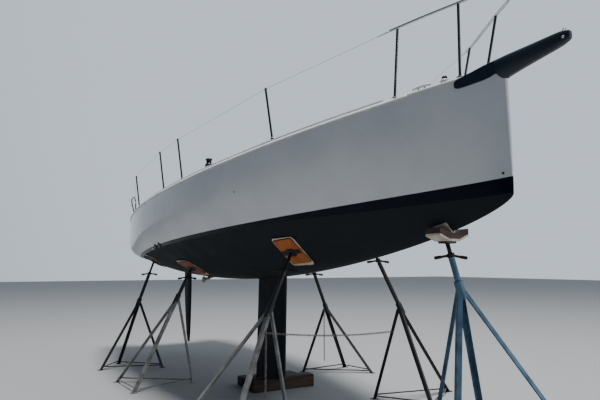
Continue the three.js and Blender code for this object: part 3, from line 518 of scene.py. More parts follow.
# Hull: a tube of rings from bow to transom and steps round from the keel, moved to the lines of the hull
hullShell = {"bowFold": 6, "stations": 150, "transomFold": 6, "bottomSteps": 26, "stripeSteps": 3,
             "topsideSteps": 18, "deckSteps": 5, "stripeAtBow": 0.125, "stripeAft": 0.045,
             "stripeShare": 0.32, "stemRound": 0.6, "bunching": 1.5}
tree, add, made = newTree("hullFromLines", {
    "Length": boat["length"], "Stem Rake": boat["stemRake"], "Deck Edge": boat["deckEdge"],
    "Stripe At Bow": hullShell["stripeAtBow"], "Stripe Aft": hullShell["stripeAft"],
    "Topsides": None, "Boot Stripe": None, "Bottom": None, "Inside": None})
zones = ("bottomSteps", "stripeSteps", "topsideSteps", "deckSteps")
half = sum(hullShell[zone] for zone in zones)
bowFold, aftFold = hullShell["bowFold"], hullShell["transomFold"]
rings = bowFold + hullShell["stations"] + aftFold
wrap = add("MeshCylinder", {"Vertices": 2 * half, "Side Segments": rings, "Radius": 1, "Depth": 2},
           fill_type="NONE")
spot = add("SeparateXYZ", [add("InputPosition")]).outputs
made.update(x=spot["X"], y=spot["Y"], z=spot["Z"])
rows = [("ring", "MULTIPLY_ADD", "z", rings / 2, rings / 2),
        ("evenShare", *fade("ring", bowFold, bowFold + hullShell["stations"])),
        ("share", "POWER", "evenShare", hullShell["bunching"]),
        ("bowFold", *fade("ring", bowFold, 0)), ("bowTurn", "MULTIPLY", "bowFold", math.pi / 2),
        ("transomFold", *fade("ring", rings - aftFold, rings)),
        ("angle", "ARCTAN2", "y", "x"), ("hand", "SIGN", "angle"), ("turn", "ABSOLUTE", "angle"),
        ("girth", "MULTIPLY", "turn", half / math.pi)]
for name, row in hullLines.items():
    rows += [("entry", *fade("share", row["entry"], 0)), ("entry", "POWER", "entry", row["power"]),
             ("rest", "SUBTRACT clamped", 1, "entry"), ("rest", "POWER", "rest", row["root"]),
             ("total", "MULTIPLY_ADD", "rest", row["gain"], row["base"] + row["stem"]),
             ("total", "MULTIPLY_ADD", "share", -row["stem"], "total"),
             ("run", *fade("share", row["run"], 1)), ("run", "POWER", "run", row["runPower"]),
             (name, "MULTIPLY_ADD", "run", -row["fall"], "total")]
start = 0
for zone in zones:    # the girth runs from the keel through bottom, stripe, topsides and deck
    rows.append((zone, *fade("girth", start, start + hullShell[zone])))
    start += hullShell[zone]
rows += [("fore", *fade("share", 0, bilge["foreShare"])), ("late", *fade("share", bilge["foreShare"], 1)),
         ("fullness", "MULTIPLY_ADD", "fore", bilge["fore"], bilge["base"]),
         ("fullness", "MULTIPLY_ADD", "late", bilge["aft"], "fullness"),
         # the depth of the boot stripe fades from the bow
         ("stripeFade", *fade("share", hullShell["stripeShare"], 0)),
         ("stripeGain", "SUBTRACT", "Stripe At Bow", "Stripe Aft"),
         ("stripe", "MULTIPLY_ADD", "stripeFade", "stripeGain", "Stripe Aft"),
         # height up the side
         ("rise", "POWER", "bottomSteps", 2), ("bottom", "SUBTRACT", "canoeDepth", "stripe"),
         ("keel", "MULTIPLY", "canoeDepth", -1), ("height", "MULTIPLY_ADD", "rise", "bottom", "keel"),
         ("height", "MULTIPLY_ADD", "stripeSteps", "stripe", "height"),
         ("top", "SUBTRACT", "sheerHeight", "Deck Edge"),
         ("height", "MULTIPLY_ADD", "topsideSteps", "top", "height"),
         # breadth at that height
         ("whole", "ADD", "sheerHeight", "canoeDepth"), ("above", "ADD", "height", "canoeDepth"),
         ("climb", "DIVIDE clamped", "above", "whole"), ("boot", "DIVIDE", "bootBreadth", "sheerBreadth"),
         ("boot", "POWER", "boot", "fullness"), ("boot", "SUBTRACT", 1, "boot"),
         ("boot", "LOGARITHM", "boot", math.e), ("low", "DIVIDE", "canoeDepth", "whole"),
         ("low", "SUBTRACT", 1, "low"), ("low", "LOGARITHM", "low", math.e),
         ("flare", "DIVIDE", "boot", "low"), ("left", "SUBTRACT", 1, "climb"),
         ("left", "POWER", "left", "flare"),
         ("filled", "SUBTRACT clamped", 1, "left"), ("root", "DIVIDE", 1, "fullness"),
         ("filled", "POWER", "filled", "root"), ("reach", "MULTIPLY", "sheerBreadth", "filled"),
         ("cosine", "COSINE", "bowTurn"), ("side", "MULTIPLY", "reach", "cosine")]
for fold in ("transomFold", "deckSteps"):
    rows += [("open", "SUBTRACT", 1, fold), ("side", "MULTIPLY", "side", "open")]
rows += [("side", "MULTIPLY", "side", "hand"),
         # place along the boat
         ("lead", "MULTIPLY", "height", "Stem Rake"),
         ("lead", "DIVIDE", "lead", hullLines["sheerHeight"]["base"]),
         ("leadShare", *fade("share", boat["rakeShare"], 0)), ("ahead", "MULTIPLY", "lead", "leadShare"),
         ("sine", "SINE", "bowTurn"), ("nose", "MULTIPLY", "reach", "sine"),
         ("ahead", "MULTIPLY_ADD", "nose", hullShell["stemRound"], "ahead"),
         ("length", "MULTIPLY", "share", "Length"), ("ahead", "SUBTRACT", "ahead", "length")]
addFormulas(add, made, rows)
shaped = add("StoreNamedAttribute", {"Geometry": wrap, "Name": "girth", "Value": made["girth"]})
place = add("CombineXYZ", [made["ahead"], made["side"], made["height"]])
shaped = add("SetPosition", {"Geometry": shaped, "Position": place})
shaped = add("MergeByDistance", {"Geometry": shaped, "Distance": 0.0001})
painted = add("SetMaterial", {"Geometry": add("FlipFaces", [shaped]), "Material": made["Topsides"]})
mark = add("InputNamedAttribute", {"Name": "girth"})
for limit, paint in ((hullShell["bottomSteps"] + hullShell["stripeSteps"], "Boot Stripe"),
                     (hullShell["bottomSteps"], "Bottom")):
    below = add("Compare", [mark, limit], operation="LESS_THAN")
    painted = add("SetMaterial", {"Geometry": painted, "Selection": below, "Material": made[paint]})
# the cockpit, saloon, passage and hatchway. Columns: aft from and to, half width, height from and to
hollows = {"well": (5.45, 8.9, 0.62, 0.3, 1.6), "saloon": (3.15, 5.18, 0.56, -0.23, 1.3),
           "passage": (5.16, 5.47, 0.29, 0.43, 1.3), "hatchway": (1.79, 2.25, 0.23, 0.48, 1.3)}
cubes = []
for aftLow, aftHigh, wide, low, high in hollows.values():
    cube = add("MeshCube", {"Size": (aftHigh - aftLow, 2 * wide, high - low)})
    middle = (-(aftLow + aftHigh) / 2, 0, (low + high) / 2)
    cube = add("Transform", {"Geometry": cube, "Translation": middle})
    cubes.append(add("SetMaterial", {"Geometry": cube, "Material": made["Inside"]}))
cut = add("MeshBoolean", {"Mesh 1": painted, "Mesh 2": cubes}, operation="DIFFERENCE", solver="EXACT")
endTree(add, cut, sharpAngle=40)
hull = grown(tree, {
    "Length": boat["length"], "Stem Rake": boat["stemRake"], "Deck Edge": boat["deckEdge"],
    "Stripe At Bow": hullShell["stripeAtBow"], "Stripe Aft": hullShell["stripeAft"], "Topsides": gelcoat,
    "Boot Stripe": bootPaint, "Bottom": bottomPaint, "Inside": deckGelcoat})
hull.data.transform(boatMatrix)


def joinSides(work):
    # the two sides joined cleanly along the centre line
    middle = [vertex for vertex in work.verts if abs(vertex.co.y) < 5e-5]
    bmesh.ops.remove_doubles(work, verts=middle, dist=3e-4)
    bmesh.ops.dissolve_degenerate(work, edges=work.edges, dist=1e-5)


reworked(hull.data, joinSides)
finish("hullShell", "topsides", hull, "hull")
print("hull", len(hull.data.polygons))

# Round tube along paths
tree, add, made = newTree("tubeAlongPath", {"Radius": 0.0125, "Sides": 14, "Finish": None})
path = add("MeshToCurve", [made["Geometry"]])
section = add("CurvePrimitiveCircle", {"Resolution": made["Sides"], "Radius": made["Radius"]})
swept = add("CurveToMesh", {"Curve": path, "Profile Curve": section, "Fill Caps": True})
endTree(add, swept, 50, made["Finish"])
tubeTree = tree


def pathMesh(paths):
    vertices, edges = [], []
    for path in paths:
        edges += [(len(vertices) + at, len(vertices) + at + 1) for at in range(len(path) - 1)]
        vertices += path
    base = bpy.data.meshes.new("paths")
    base.from_pydata(vertices, edges, [])
    return base


def tubes(paths, radius, material, sides=14):
    return grown(tubeTree, {"Radius": radius, "Sides": sides, "Finish": material}, pathMesh(paths))


def facingPoints(places):
    # points that say which way each one faces
    base = bpy.data.meshes.new("points")
    base.from_pydata([place for place, _ in places], [], [])
    facing = base.attributes.new("facing", "FLOAT_VECTOR", "POINT")
    facing.data.foreach_set("vector", [part for _, way in places for part in way])
    return base


# Domed heads of bolts and screws, on points
tree, add, made = newTree("domedHeads", {"Radius": 0.006, "Height": 0.003, "Finish": None})
dome = add("MeshUVSphere", {"Segments": 10, "Rings": 6, "Radius": 1})
domeSize = add("CombineXYZ", [made["Radius"], made["Radius"], made["Height"]])
dome = add("Transform", {"Geometry": dome, "Scale": domeSize})
facing = add("InputNamedAttribute", {"Name": "facing"}, data_type="FLOAT_VECTOR")
endTree(add, placeAlong(add, made["Geometry"], dome, facing), None, made["Finish"])
headTree = tree


def heads(places, radius, height, material):
    return grown(headTree, {"Radius": radius, "Height": height, "Finish": material}, facingPoints(places))


# Deck moulding, with a rounded edge and a fold over the stem
deckLook = {"stations": 110, "across": 12, "turn": 0.009, "turnShare": 0.4, "easing": 0.3, "lap": 0.0004,
            "bowFold": (86, 65, 40, 20)}


def deckRing(aft, shrink=1.0, ahead=0.0):
    sheer = hullLine("sheerHeight", aft)
    edge = halfBreadth(aft, sheer) * shrink
    foot = sheer - boat["deckEdge"]
    turn = min(deckLook["turn"], edge * deckLook["turnShare"])
    ease = deckLook["easing"] * turn
    half = [(halfBreadth(aft, foot) * shrink, foot + deckLook["lap"]), (edge, sheer - turn),
            (edge - ease, sheer - ease)]
    for step in range(deckLook["across"] + 1):
        side = (edge - turn) * (1 - step / deckLook["across"])
        half.append((side, sheer + boat["camber"] * (1 - (side / edge) ** 2)))
    whole = half + [(-side, height) for side, height in reversed(half[:-1])]
    return [boatPoint(aft - stemLead(aft, height) - ahead, side, height) for side, height in whole]


nose = hullShell["stemRound"] * halfBreadth(0, hullLines["sheerHeight"]["base"])
deckRings = [deckRing(0, math.cos(turn), nose * math.sin(turn))
             for turn in map(math.radians, deckLook["bowFold"])]
deckRings += [deckRing(boat["length"] * (step / deckLook["stations"]) ** hullShell["bunching"])
              for step in range(deckLook["stations"] + 1)]
deck = lofted([deckRings], deckGelcoat, angle=40)
for aftLow, aftHigh, wide, low, high in hollows.values():
    carve(deck, [block((aftLow, aftHigh), (-wide, wide), (low, high))], angle=40)
finish("deckMoulding", "deck", deck, "deck")

# White rubbing strip below the deck edge, and the toe rail inside it. The strip's outline: height where the
# hull's side is read, reach past that side, height above the strip's foot. The rail's: reach past its outer
# face, height
edgeTrim = {"steps": 90, "stripEnds": (0.7, 8.67), "stripHeight": 0.028, "railEnds": (0.95, 8.64),
            "railInset": 0.02, "strip": ((0, -0.004, 0), (0, 0.012, 0.001), (0.006, 0.014, 0.005),
                                         (0.028, 0.002, 0.027), (0.028, -0.004, 0.029)),
            "rail": ((-0.027, 0), (-0.027, 0.006), (-0.012, 0.009), (-0.012, 0.03), (-0.0115, 0.033),
                     (-0.01, 0.034), (0, 0.021), (0, 0)), "screws": 60, "firstScrew": 1.01,
            "screwGap": 0.129, "screwAt": (-0.02, 0.0065), "screwHead": (0.0045, 0.002)}


def stripSection(aft):
    # a narrow upright foot under a broad sloping face, which takes the light from above
    low = hullLine("sheerHeight", aft) - edgeTrim["stripHeight"]
    return [(halfBreadth(aft, low + read) + past, low + above) for read, past, above in edgeTrim["strip"]]


def railPoint(aft, past, above):
    sheer = hullLine("sheerHeight", aft)
    return halfBreadth(aft, sheer) - edgeTrim["railInset"] + past, sheer + above


def railSection(aft):
    return [railPoint(aft, *corner) for corner in edgeTrim["rail"]]


def alongSheer(section, ends, material):
    places = [ends[0] + (ends[1] - ends[0]) * step / edgeTrim["steps"]
              for step in range(edgeTrim["steps"] + 1)]
    return lofted([[[boatPoint(aft - stemLead(aft, height), hand * side, height)
                     for side, height in section(aft)] for aft in places] for hand in hands.values()],
                  material, angle=50)


finish("rubbingStrip", "topsides", alongSheer(stripSection, edgeTrim["stripEnds"], deckGelcoat))
finish("toeRails", slotOf["toe_rail_port"], alongSheer(railSection, edgeTrim["railEnds"], alloy),
       "toe_rail_port", "toe_rail_starboard")
railScrews = []
for step in range(edgeTrim["screws"]):
    aft = edgeTrim["firstScrew"] + step * edgeTrim["screwGap"]
    side, height = railPoint(aft, *edgeTrim["screwAt"])
    railScrews += [(boatPoint(aft, hand * side, height), boatUp) for hand in hands.values()]
finish("toeRailScrews", "stainless", heads(railScrews, *edgeTrim["screwHead"], stainless))
print("deck and edge trim ready")

# Coachroof. Columns: aft, half width at the deck, height of the crown
roofTable = [[2.42, 0.22, 0.815], [2.6, 0.3, 0.85], [2.9, 0.45, 0.96], [3.3, 0.58, 1.075], [3.7, 0.675, 1.13],
             [4.0, 0.725, 1.15], [4.6, 0.775, 1.15], [5.35, 0.8, 1.15]]
roofLook = {"tumble": 0.055, "camber": 0.045, "corner": 0.045, "wall": 0.032, "sink": 0.02, "least": 0.01,
            "cornerSteps": 6, "topSteps": 8, "inside": (2.8, 5.318), "insideSink": 0.06,
            "windowLow": (3.55, 0.905), "windowHigh": (4.65, 1.035), "windowCorner": 0.05,
            "paneGap": 0.0008, "paneEnds": (3.4, 4.8), "paneBack": (3.3, 4.9), "paneFaces": (0.003, 0.011),
            "paneSpan": (0.3, 1.2), "paneSteps": 24, "backSink": 0.03, "runnerEnds": (4.13, 5.35),
            "runnerEdge": 0.004, "leastSide": 0.02, "cornerShares": (0.45, 0.4)}
# openings in the roof: aft, side, height
roofCuts = {"slideway": ((4.76, 5.45), (-0.3, 0.3), (1.03, 1.4)),
            "doorway": ((5.23, 5.45), (-0.29, 0.29), (0.6, 1.4))}
# a tall and a low bar of each runner: side, height
runnerBars = (((0.3485, 0.366), (1.11, 1.186)), ((0.32, 0.3484), (1.11, 1.1574)))


def roofTop(aft, side):
    wide, crown = readTable(roofTable, aft)
    return crown - roofLook["camber"] * (side / (wide - roofLook["tumble"])) ** 2


def roofRing(aft, inset, sink):
    wide, crown = readTable(roofTable, aft)
    low, camber = deckHeight(aft, wide) - sink, roofLook["camber"]
    least = low + roofLook["least"]
    base, upper = [max(roofLook["leastSide"], wide - tumble - inset) for tumble in (0, roofLook["tumble"])]
    edge = max(least, crown - camber - inset)
    upShare, inShare = roofLook["cornerShares"]
    corner = min(roofLook["corner"], upShare * (edge - low), inShare * upper)
    start = (upper + (base - upper) * corner / (edge - low), edge - corner)
    end = (upper - corner, max(least, crown - inset - camber * ((upper - corner) / upper) ** 2))
    half = [(base, low)]
    for step in range(roofLook["cornerSteps"] + 1):
        t = step / roofLook["cornerSteps"]
        half.append(tuple((1 - t) ** 2 * a + 2 * t * (1 - t) * b + t * t * c for a, b, c in
                          zip(start, (upper, edge), end)))
    for step in range(1, roofLook["topSteps"] + 1):
        side = end[0] * (1 - step / roofLook["topSteps"])
        half.append((side, max(least, crown - inset - camber * (side / upper) ** 2)))
    return [boatPoint(aft, side, height) for side, height in half + [(-s, h) for s, h in reversed(half[:-1])]]


def roofLoft(ends, inset, sink=roofLook["sink"], steps=60):
    return [roofRing(ends[0] + (ends[1] - ends[0]) * step / steps, inset, sink) for step in range(steps + 1)]


roof = lofted([roofLoft((roofTable[0][0], roofTable[-1][0]), 0)], deckGelcoat, angle=40)
windowOutline = roundedOutline(roofLook["windowLow"], roofLook["windowHigh"], roofLook["windowCorner"])
for opening in (roofLoft(roofLook["inside"], roofLook["wall"], roofLook["insideSink"]),
                *(block(*cut) for cut in roofCuts.values()),
                slab(windowOutline, (-roofLook["paneSpan"][1], roofLook["paneSpan"][1]))):
    carve(roof, [opening], angle=40)
bars = [block(roofLook["runnerEnds"], [hand * out for out in side], height)
        for hand in hands.values() for side, height in runnerBars]
runners = bevelled(lofted(bars, deckGelcoat, angle=35), roofLook["runnerEdge"])
finish("cabinTop", "deck", [roof, runners], "coachroof")
paneOutline = roundedOutline([v + roofLook["paneGap"] for v in roofLook["windowLow"]],
                             [v - roofLook["paneGap"] for v in roofLook["windowHigh"]],
                             roofLook["windowCorner"])
for hand, sign in hands.items():
    outer, inner = roofLook["paneFaces"]
    pane = lofted([roofLoft(roofLook["paneEnds"], outer, steps=roofLook["paneSteps"])], acrylic, angle=40)
    carve(pane, [roofLoft(roofLook["paneBack"], inner, roofLook["backSink"], roofLook["paneSteps"])],
          angle=40)
    carve(pane, [slab(paneOutline, sorted(sign * side for side in roofLook["paneSpan"]))], "INTERSECT", 40)
    finish(f"windowPane{hand.title()}", "smoked_pane", pane, f"window_{hand}")
# solids whose edges are broken. Columns: node, piece, width of the bevel
for node, piece, width in (("cockpit_lining", "cockpitLining", 0.008), ("washboard", "washboard", 0.003),
                           ("companion_slide", "companionSlide", 0.006), ("mast_step", "mastStep", 0.005),
                           ("fore_hatch_frame", "foreHatchFrame", 0.006),
                           ("fore_hatch_lid", "foreHatchLid", 0.005),
                           ("mainsheet_track", "mainsheetTrack", 0.003),
                           ("chainplate_port", "chainplatePort", 0.003),
                           ("chainplate_starboard", "chainplateStarboard", 0.003),
                           ("shaft_bracket", "shaftBracket", 0.002),
                           ("propeller", "foldedPropeller", 0.002),
                           ("keel_timber_fore", "keelTimberFore", 0.006),
                           ("keel_timber_aft", "keelTimberAft", 0.006)):
    softened(piece, node, width)

# Non-slip panels. Columns: fore end, aft end, inner side. No inner side means the roof's side plus a gap
panelLook = {"proud": 0.0016, "sunk": 0.004, "gap": 0.05, "outer": 0.13, "roofOuter": 0.14, "corner": 0.05,
             "steps": 26, "across": 6, "sole": (5.52, 8.64, 0.02, 0.56, 0.3225)}
sidePanels = [(0.95, 1.7, 0.03), (1.8, 2.24, 0.3), (2.34, 3.2, None), (3.28, 4.25, None), (4.33, 5.3, None),
              (5.5, 6.86, 0.66), (6.94, 8.5, 0.66)]
roofPanels = [(3.02, 3.34, 0.03), (3.62, 4.08, 0.03), (4.2, 5.28, 0.4)]


def panelLoft(low, high, inner, outer, surface, hand):
    rings, corner, across = [], panelLook["corner"], panelLook["across"]
    for step in range(panelLook["steps"] + 1):
        aft = low + (high - low) * (1 - math.cos(math.pi * step / panelLook["steps"])) / 2
        near = min(aft - low, high - aft, corner)
        tuck = corner - math.sqrt(max(0, corner ** 2 - (corner - near) ** 2))
        a, b = inner(aft) + tuck, outer(aft) - tuck
        sides = [a + (b - a) * place / across for place in range(across + 1)]
        faces = ((sides, panelLook["proud"]), (sides[::-1], -panelLook["sunk"]))
        rings.append([boatPoint(aft, hand * side, surface(aft, side) + above)
                      for row, above in faces for side in row])
    return rings


def roofSide(aft):
    return readTable(roofTable, aft)[0]


panels = []
soleFore, soleAft, soleIn, soleOut, soleHeight = panelLook["sole"]
for hand in hands.values():
    for low, high, inner in sidePanels:
        panels.append(panelLoft(low, high, lambda aft: inner or roofSide(aft) + panelLook["gap"],
                                lambda aft: hullLine("sheerBreadth", aft) - panelLook["outer"],
                                deckHeight, hand))
    for low, high, inner in roofPanels:
        panels.append(panelLoft(low, high, lambda aft: inner,
                                lambda aft: roofSide(aft) - panelLook["roofOuter"], roofTop, hand))
    panels.append(panelLoft(soleFore, soleAft, lambda aft: soleIn, lambda aft: soleOut,
                            lambda aft, side: soleHeight, hand))
finish("nonSlipPanels", "deck", lofted(panels, nonSlip, angle=35))
print("cabin and panels ready")

# Bowsprit: deep tapering arm, narrower below, and a saddle round the stem head. Columns: aft, half width
# above and below, low edge, high edge
spritTable = [[-0.59, 0.024, 0.02, 0.853, 0.92], [-0.52, 0.034, 0.026, 0.832, 0.931],
              [-0.3, 0.044, 0.028, 0.808, 0.938], [-0.06, 0.057, 0.028, 0.778, 0.945],
              [0, 0.062, 0.028, 0.765, 0.945], [0.12, 0.07, 0.046, 0.84, 0.938],
              [0.26, 0.06, 0.06, 0.9, 0.925]]
# lower and upper edge of the saddle. Columns: aft, low, high
saddleTable = [[-0.01, 0.82, 0.935], [0.04, 0.822, 0.93], [0.1, 0.8, 0.918], [0.2, 0.782, 0.885],
               [0.33, 0.77, 0.845]]
spritLook = {"square": 0.42, "points": 32, "steps": 40, "wall": 0.01, "buried": 0.004, "lip": 0.003,
             "cutBack": 0.012, "tip": ((-0.59, 0.55), (-0.588, 0.8), (-0.58, 0.95), (-0.57, 1)),
             "saddleAft": 0.33, "saddleFore": -0.008, "saddleSteps": 17, "levels": 6,
             "bolts": ((0.312, 0.822), (0.045, 0.86)), "boltLean": 0.4, "tipBolt": (-0.55, 0.029, 0.875),
             "boltHead": (0.011, 0.005), "eye": (-0.545, 0.927), "eyeReach": (0.016, 0.022),
             "eyeSteps": 8, "eyeTube": 0.0035}


def spritRing(aft, shrink=1.0):
    wide, under, low, high = readTable(spritTable, aft)
    ring = []
    for point in range(spritLook["points"]):
        angle = 2 * math.pi * point / spritLook["points"]
        across, up = (math.copysign(abs(part) ** spritLook["square"], part)
                      for part in (math.cos(angle), math.sin(angle)))
        side = shrink * across * (under + (wide - under) * clamp(1 + up))
        ring.append(boatPoint(aft, side, (low + high) / 2 + shrink * (high - low) / 2 * up))
    return ring


def cheekRing(step, hand):
    # a ring of one cheek of the saddle, from its cut-back aft end forward round the stem
    start, levels = spritLook["saddleAft"], spritLook["levels"]
    aft = start + (spritLook["saddleFore"] - start) * step / spritLook["saddleSteps"]
    low, high = readTable(saddleTable, aft)
    if step == 0:
        low, high = low + spritLook["cutBack"], high - spritLook["cutBack"]
    first, span = low + spritLook["lip"], high - low - 2 * spritLook["lip"]
    heights = [low, *(first + span * level / levels for level in range(levels + 1)), high]
    walls = [-spritLook["buried"], *[spritLook["wall"]] * (levels + 1), -spritLook["buried"]]
    near = max(0, aft)
    return [boatPoint(aft - stemLead(near, height), hand * (halfBreadth(near, height) + past), height)
            for height, past in zip(heights, walls)]


tipAft, heelAft = spritLook["tip"][-1][0], spritTable[-1][0]
arm = [spritRing(*ring) for ring in spritLook["tip"][:-1]]
arm += [spritRing(tipAft + (heelAft - tipAft) * step / spritLook["steps"])
        for step in range(spritLook["steps"] + 1)]
cheeks = [[cheekRing(step, hand) for step in range(spritLook["saddleSteps"] + 1)] for hand in hands.values()]
finish("bowspritArm", "carbon", lofted([arm, *cheeks], carbon, angle=45), "bowsprit")
spritBolts = []
for hand in hands.values():
    for aft, height in spritLook["bolts"]:
        side = halfBreadth(aft, height) + spritLook["wall"]
        outward = boatTurn @ Vector((spritLook["boltLean"], hand, 0)).normalized()
        spritBolts.append((boatPoint(aft, hand * side, height), outward))
    aft, side, height = spritLook["tipBolt"]
    spritBolts.append((boatPoint(aft, hand * side, height), Vector((0, hand, 0))))
finish("bowspritBolts", "stainless", heads(spritBolts, *spritLook["boltHead"], alloy))
(eyeAft, eyeHigh), (eyeAlong, eyeUp) = spritLook["eye"], spritLook["eyeReach"]
eye = [boatPoint(eyeAft + eyeAlong * math.cos(angle), 0, eyeHigh + eyeUp * math.sin(angle))
       for angle in (math.pi * step / spritLook["eyeSteps"] for step in range(spritLook["eyeSteps"] + 1))]
finish("bowspritEye", "stainless", tubes([eye], spritLook["eyeTube"], stainless, sides=8))

# Rails and stanchions
railLook = {"tube": 0.0125, "legTube": 0.012, "height": 0.638, "lean": 7, "inset": 0.076, "wire": 0.0022,
            "wireBelow": 0.017, "pulpitWire": 0.012, "quarterWire": (8.02, 1.176, 0.34),
            "footScrew": (0.024, 0.008), "screwTurns": (0.5, 2.6, 4.7), "screwHead": (0.0048, 0.002),
            "ballAt": 0.004, "ball": (0.0135, 0.012), "postFoot": 0.02,
            "flange": ((0.032, -0.01), (0.032, 0.0048), (0.03008, 0.008), (0.017, 0.009), (0.0155, 0.022),
                       (0.013, 0.024)),
            "socket": ((0.019, -0.004), (0.019, 0.06), (0.0165, 0.064), (0.0135, 0.066)),
            "capBelow": ((0.0125, 0.029), (0.0145, 0.027), (0.0145, 0.011), (0.009, 0.002), (0.004, 0)),
            "tightener": ((0.003, 0.01), (0.0055, 0.02), (0.0055, 0.13), (0.003, 0.14))}
pulpitRail = [(0.749, 0.468, 1.438), (0.47, 0.35, 1.455), (0.183, 0.221, 1.47), (-0.03, 0.128, 1.48)]
pulpitNose = (-0.09, 0, 1.482)
# legs: foot aft and out, then the head
pulpitLegs = [((0.844, 0.392), (0.69, 0.44, 1.44)), ((0.3, 0.145), (0.183, 0.221, 1.47))]
# quarter rail: aft, out, height above the deck at its aft foot
quarterLine = [(8.56, 1.04, 0), (8.6, 1.075, 0.18), (8.635, 1.105, 0.33), (8.62, 1.12, 0.41),
               (8.48, 1.135, 0.43), (8.18, 1.16, 0.4), (7.96, 1.18, 0.3), (7.88, 1.185, 0.16),
               (7.86, 1.185, 0)]
stanchionPlaces = {"fore": 2.38, "mid": 4.52, "aft": 5.29, "quarter": 7.08}
screws = []


def flange(aft, side):
    # a welded foot, and its three screws for later
    out, high = railLook["footScrew"]
    middle, across = deckPoint(aft, side, high), Vector((0, 1, 0))
    for angle in railLook["screwTurns"]:
        screws.append((middle + out * (boatUp.cross(across) * math.cos(angle) + across * math.sin(angle)),
                       boatUp))
    return turned(railLook["flange"], deckPoint(aft, side), boatUp, steps=28)


legPaths, flanges, balls = [], [], []
starboardRail = [boatPoint(aft, -side, height) for aft, side, height in reversed(pulpitRail)]
portRail = [boatPoint(*row) for row in pulpitRail]
railPath = smoothPath([*portRail, boatPoint(*pulpitNose), *starboardRail], steps=10)
endAft, endSide, endHigh = pulpitRail[0]
for hand in hands.values():
    for (footAft, footSide), (headAft, headSide, headHigh) in pulpitLegs:
        legPaths.append([deckPoint(footAft, hand * footSide), boatPoint(headAft, hand * headSide, headHigh)])
        flanges.append(flange(footAft, hand * footSide))
    balls.append((boatPoint(endAft, hand * endSide, endHigh) + boatAft * railLook["ballAt"], boatAft))
# painted shade: the pulpit's legs take the darkened tube, while its top rail keeps the bright steel
finish("pulpit", "stainless", [tubes([railPath], railLook["tube"], stainless, sides=20),
                               tubes(legPaths, railLook["legTube"], shadeDarkenedTube, sides=18),
                               lofted(flanges, stainless, angle=40),
                               heads(balls, *railLook["ball"], stainless)], "pulpit")
wires = {}
lean, quarterDeck = math.radians(railLook["lean"]), deckHeight(*quarterLine[0][:2])
for hand, sign in hands.items():
    line = [boatPoint(aft, sign * side, (quarterDeck if above else deckHeight(aft, side)) + above)
            for aft, side, above in quarterLine]
    feet = [flange(aft, sign * side) for aft, side, _ in (quarterLine[0], quarterLine[-1])]
    # painted shade: the quarter rail's bar takes the darkened tube
    bar = tubes([smoothPath(line)], railLook["tube"], shadeDarkenedTube, sides=18)
    finish(f"quarterRail{hand.title()}", "stainless", [bar, lofted(feet, stainless, angle=40)],
           f"quarter_rail_{hand}")
    wires[hand] = [boatPoint(endAft + railLook["pulpitWire"], sign * endSide, endHigh)]
    rise = boatTurn @ Vector((0, sign * math.sin(lean), math.cos(lean)))
    for label, aft in stanchionPlaces.items():
        side = sign * (hullLine("sheerBreadth", aft) - railLook["inset"])
        foot = deckPoint(aft, side)
        cap = [(wide, railLook["height"] - below) for wide, below in railLook["capBelow"]]
        post = [(railLook["tube"], railLook["postFoot"]), *cap]
        outlines = (railLook["socket"], post)
        parts = [flange(aft, side), *(turned(outline, foot, rise, steps=24) for outline in outlines)]
        # painted shade: each stanchion takes the darkened tube
        finish(f"stanchion{label.title()}{hand.title()}", "stainless", lofted(parts, shadeDarkenedTube, angle=40),
               f"stanchion_{label}_{hand}")
        wires[hand].append(foot + rise * (railLook["height"] - railLook["wireBelow"]))
    aft, side, above = railLook["quarterWire"]
    wires[hand].append(boatPoint(aft, sign * side, quarterDeck + above))
finish("guardWires", "stainless", tubes(list(wires.values()), railLook["wire"], stainless, sides=8))
finish("railScrews", "stainless", heads(screws, *railLook["screwHead"], stainless))
tighteners = [turned(railLook["tightener"], start, toward - start, steps=10)
              for line in wires.values() for start, toward in (line[:2], line[:-3:-1])]
finish("wireTighteners", "stainless", lofted(tighteners, stainless))
print("rails ready")

# Mooring cleats beside the deck edge. Places: aft, how far inside the edge; the horns' line as shares
cleatLook = {"places": ((0.62, 0.06), (8.3, 0.19)), "half": 0.078, "posts": (-0.026, 0.026), "high": 0.036,
             "horn": 0.0115, "line": ((-1, 0.86), (-0.6, 1), (0, 1.06), (0.6, 1), (1, 0.86)),
             "post": ((0.02, -0.006), (0.02, 0.003), (0.017, 0.005), (0.0085, 0.007), (0.0075, 0.022),
                      (0.009, 0.036))}
horns, posts = [], []
for aft, inset in cleatLook["places"]:
    for hand in hands.values():
        lines = ([(cleatLook["half"] * along, cleatLook["high"] * up) for along, up in cleatLook["line"]],
                 [(along, 0) for along in cleatLook["posts"]])
        horn, feet = [[deckPoint(aft + along, hand * (hullLine("sheerBreadth", aft + along) - inset), above)
                       for along, above in line] for line in lines]
        horns.append(smoothPath(horn, steps=5))
        posts += [turned(cleatLook["post"], foot, boatUp, steps=16) for foot in feet]
finish("mooringCleats", "alloy", [tubes(horns, cleatLook["horn"], alloy, sides=10),
                                  lofted(posts, alloy, angle=40)])
# a covered lead on a white pad, by the starboard deck edge
leadLook = {"place": (0.43, -0.188), "pad": ((0.04, -0.01), (0.04, 0.022), (0.034, 0.029), (0.005, 0.03)),
            "cap": ((0.02, 0.0302), (0.025, 0.036), (0.025, 0.05), (0.019, 0.062), (0.006, 0.066))}
leadPlace = deckPoint(*leadLook["place"])
finish("foredeckLead", "deck", [lofted([turned(leadLook["pad"], leadPlace, boatUp, steps=28)], deckGelcoat),
                                lofted([turned(leadLook["cap"], leadPlace, boatUp, steps=24)], blackPlastic)])
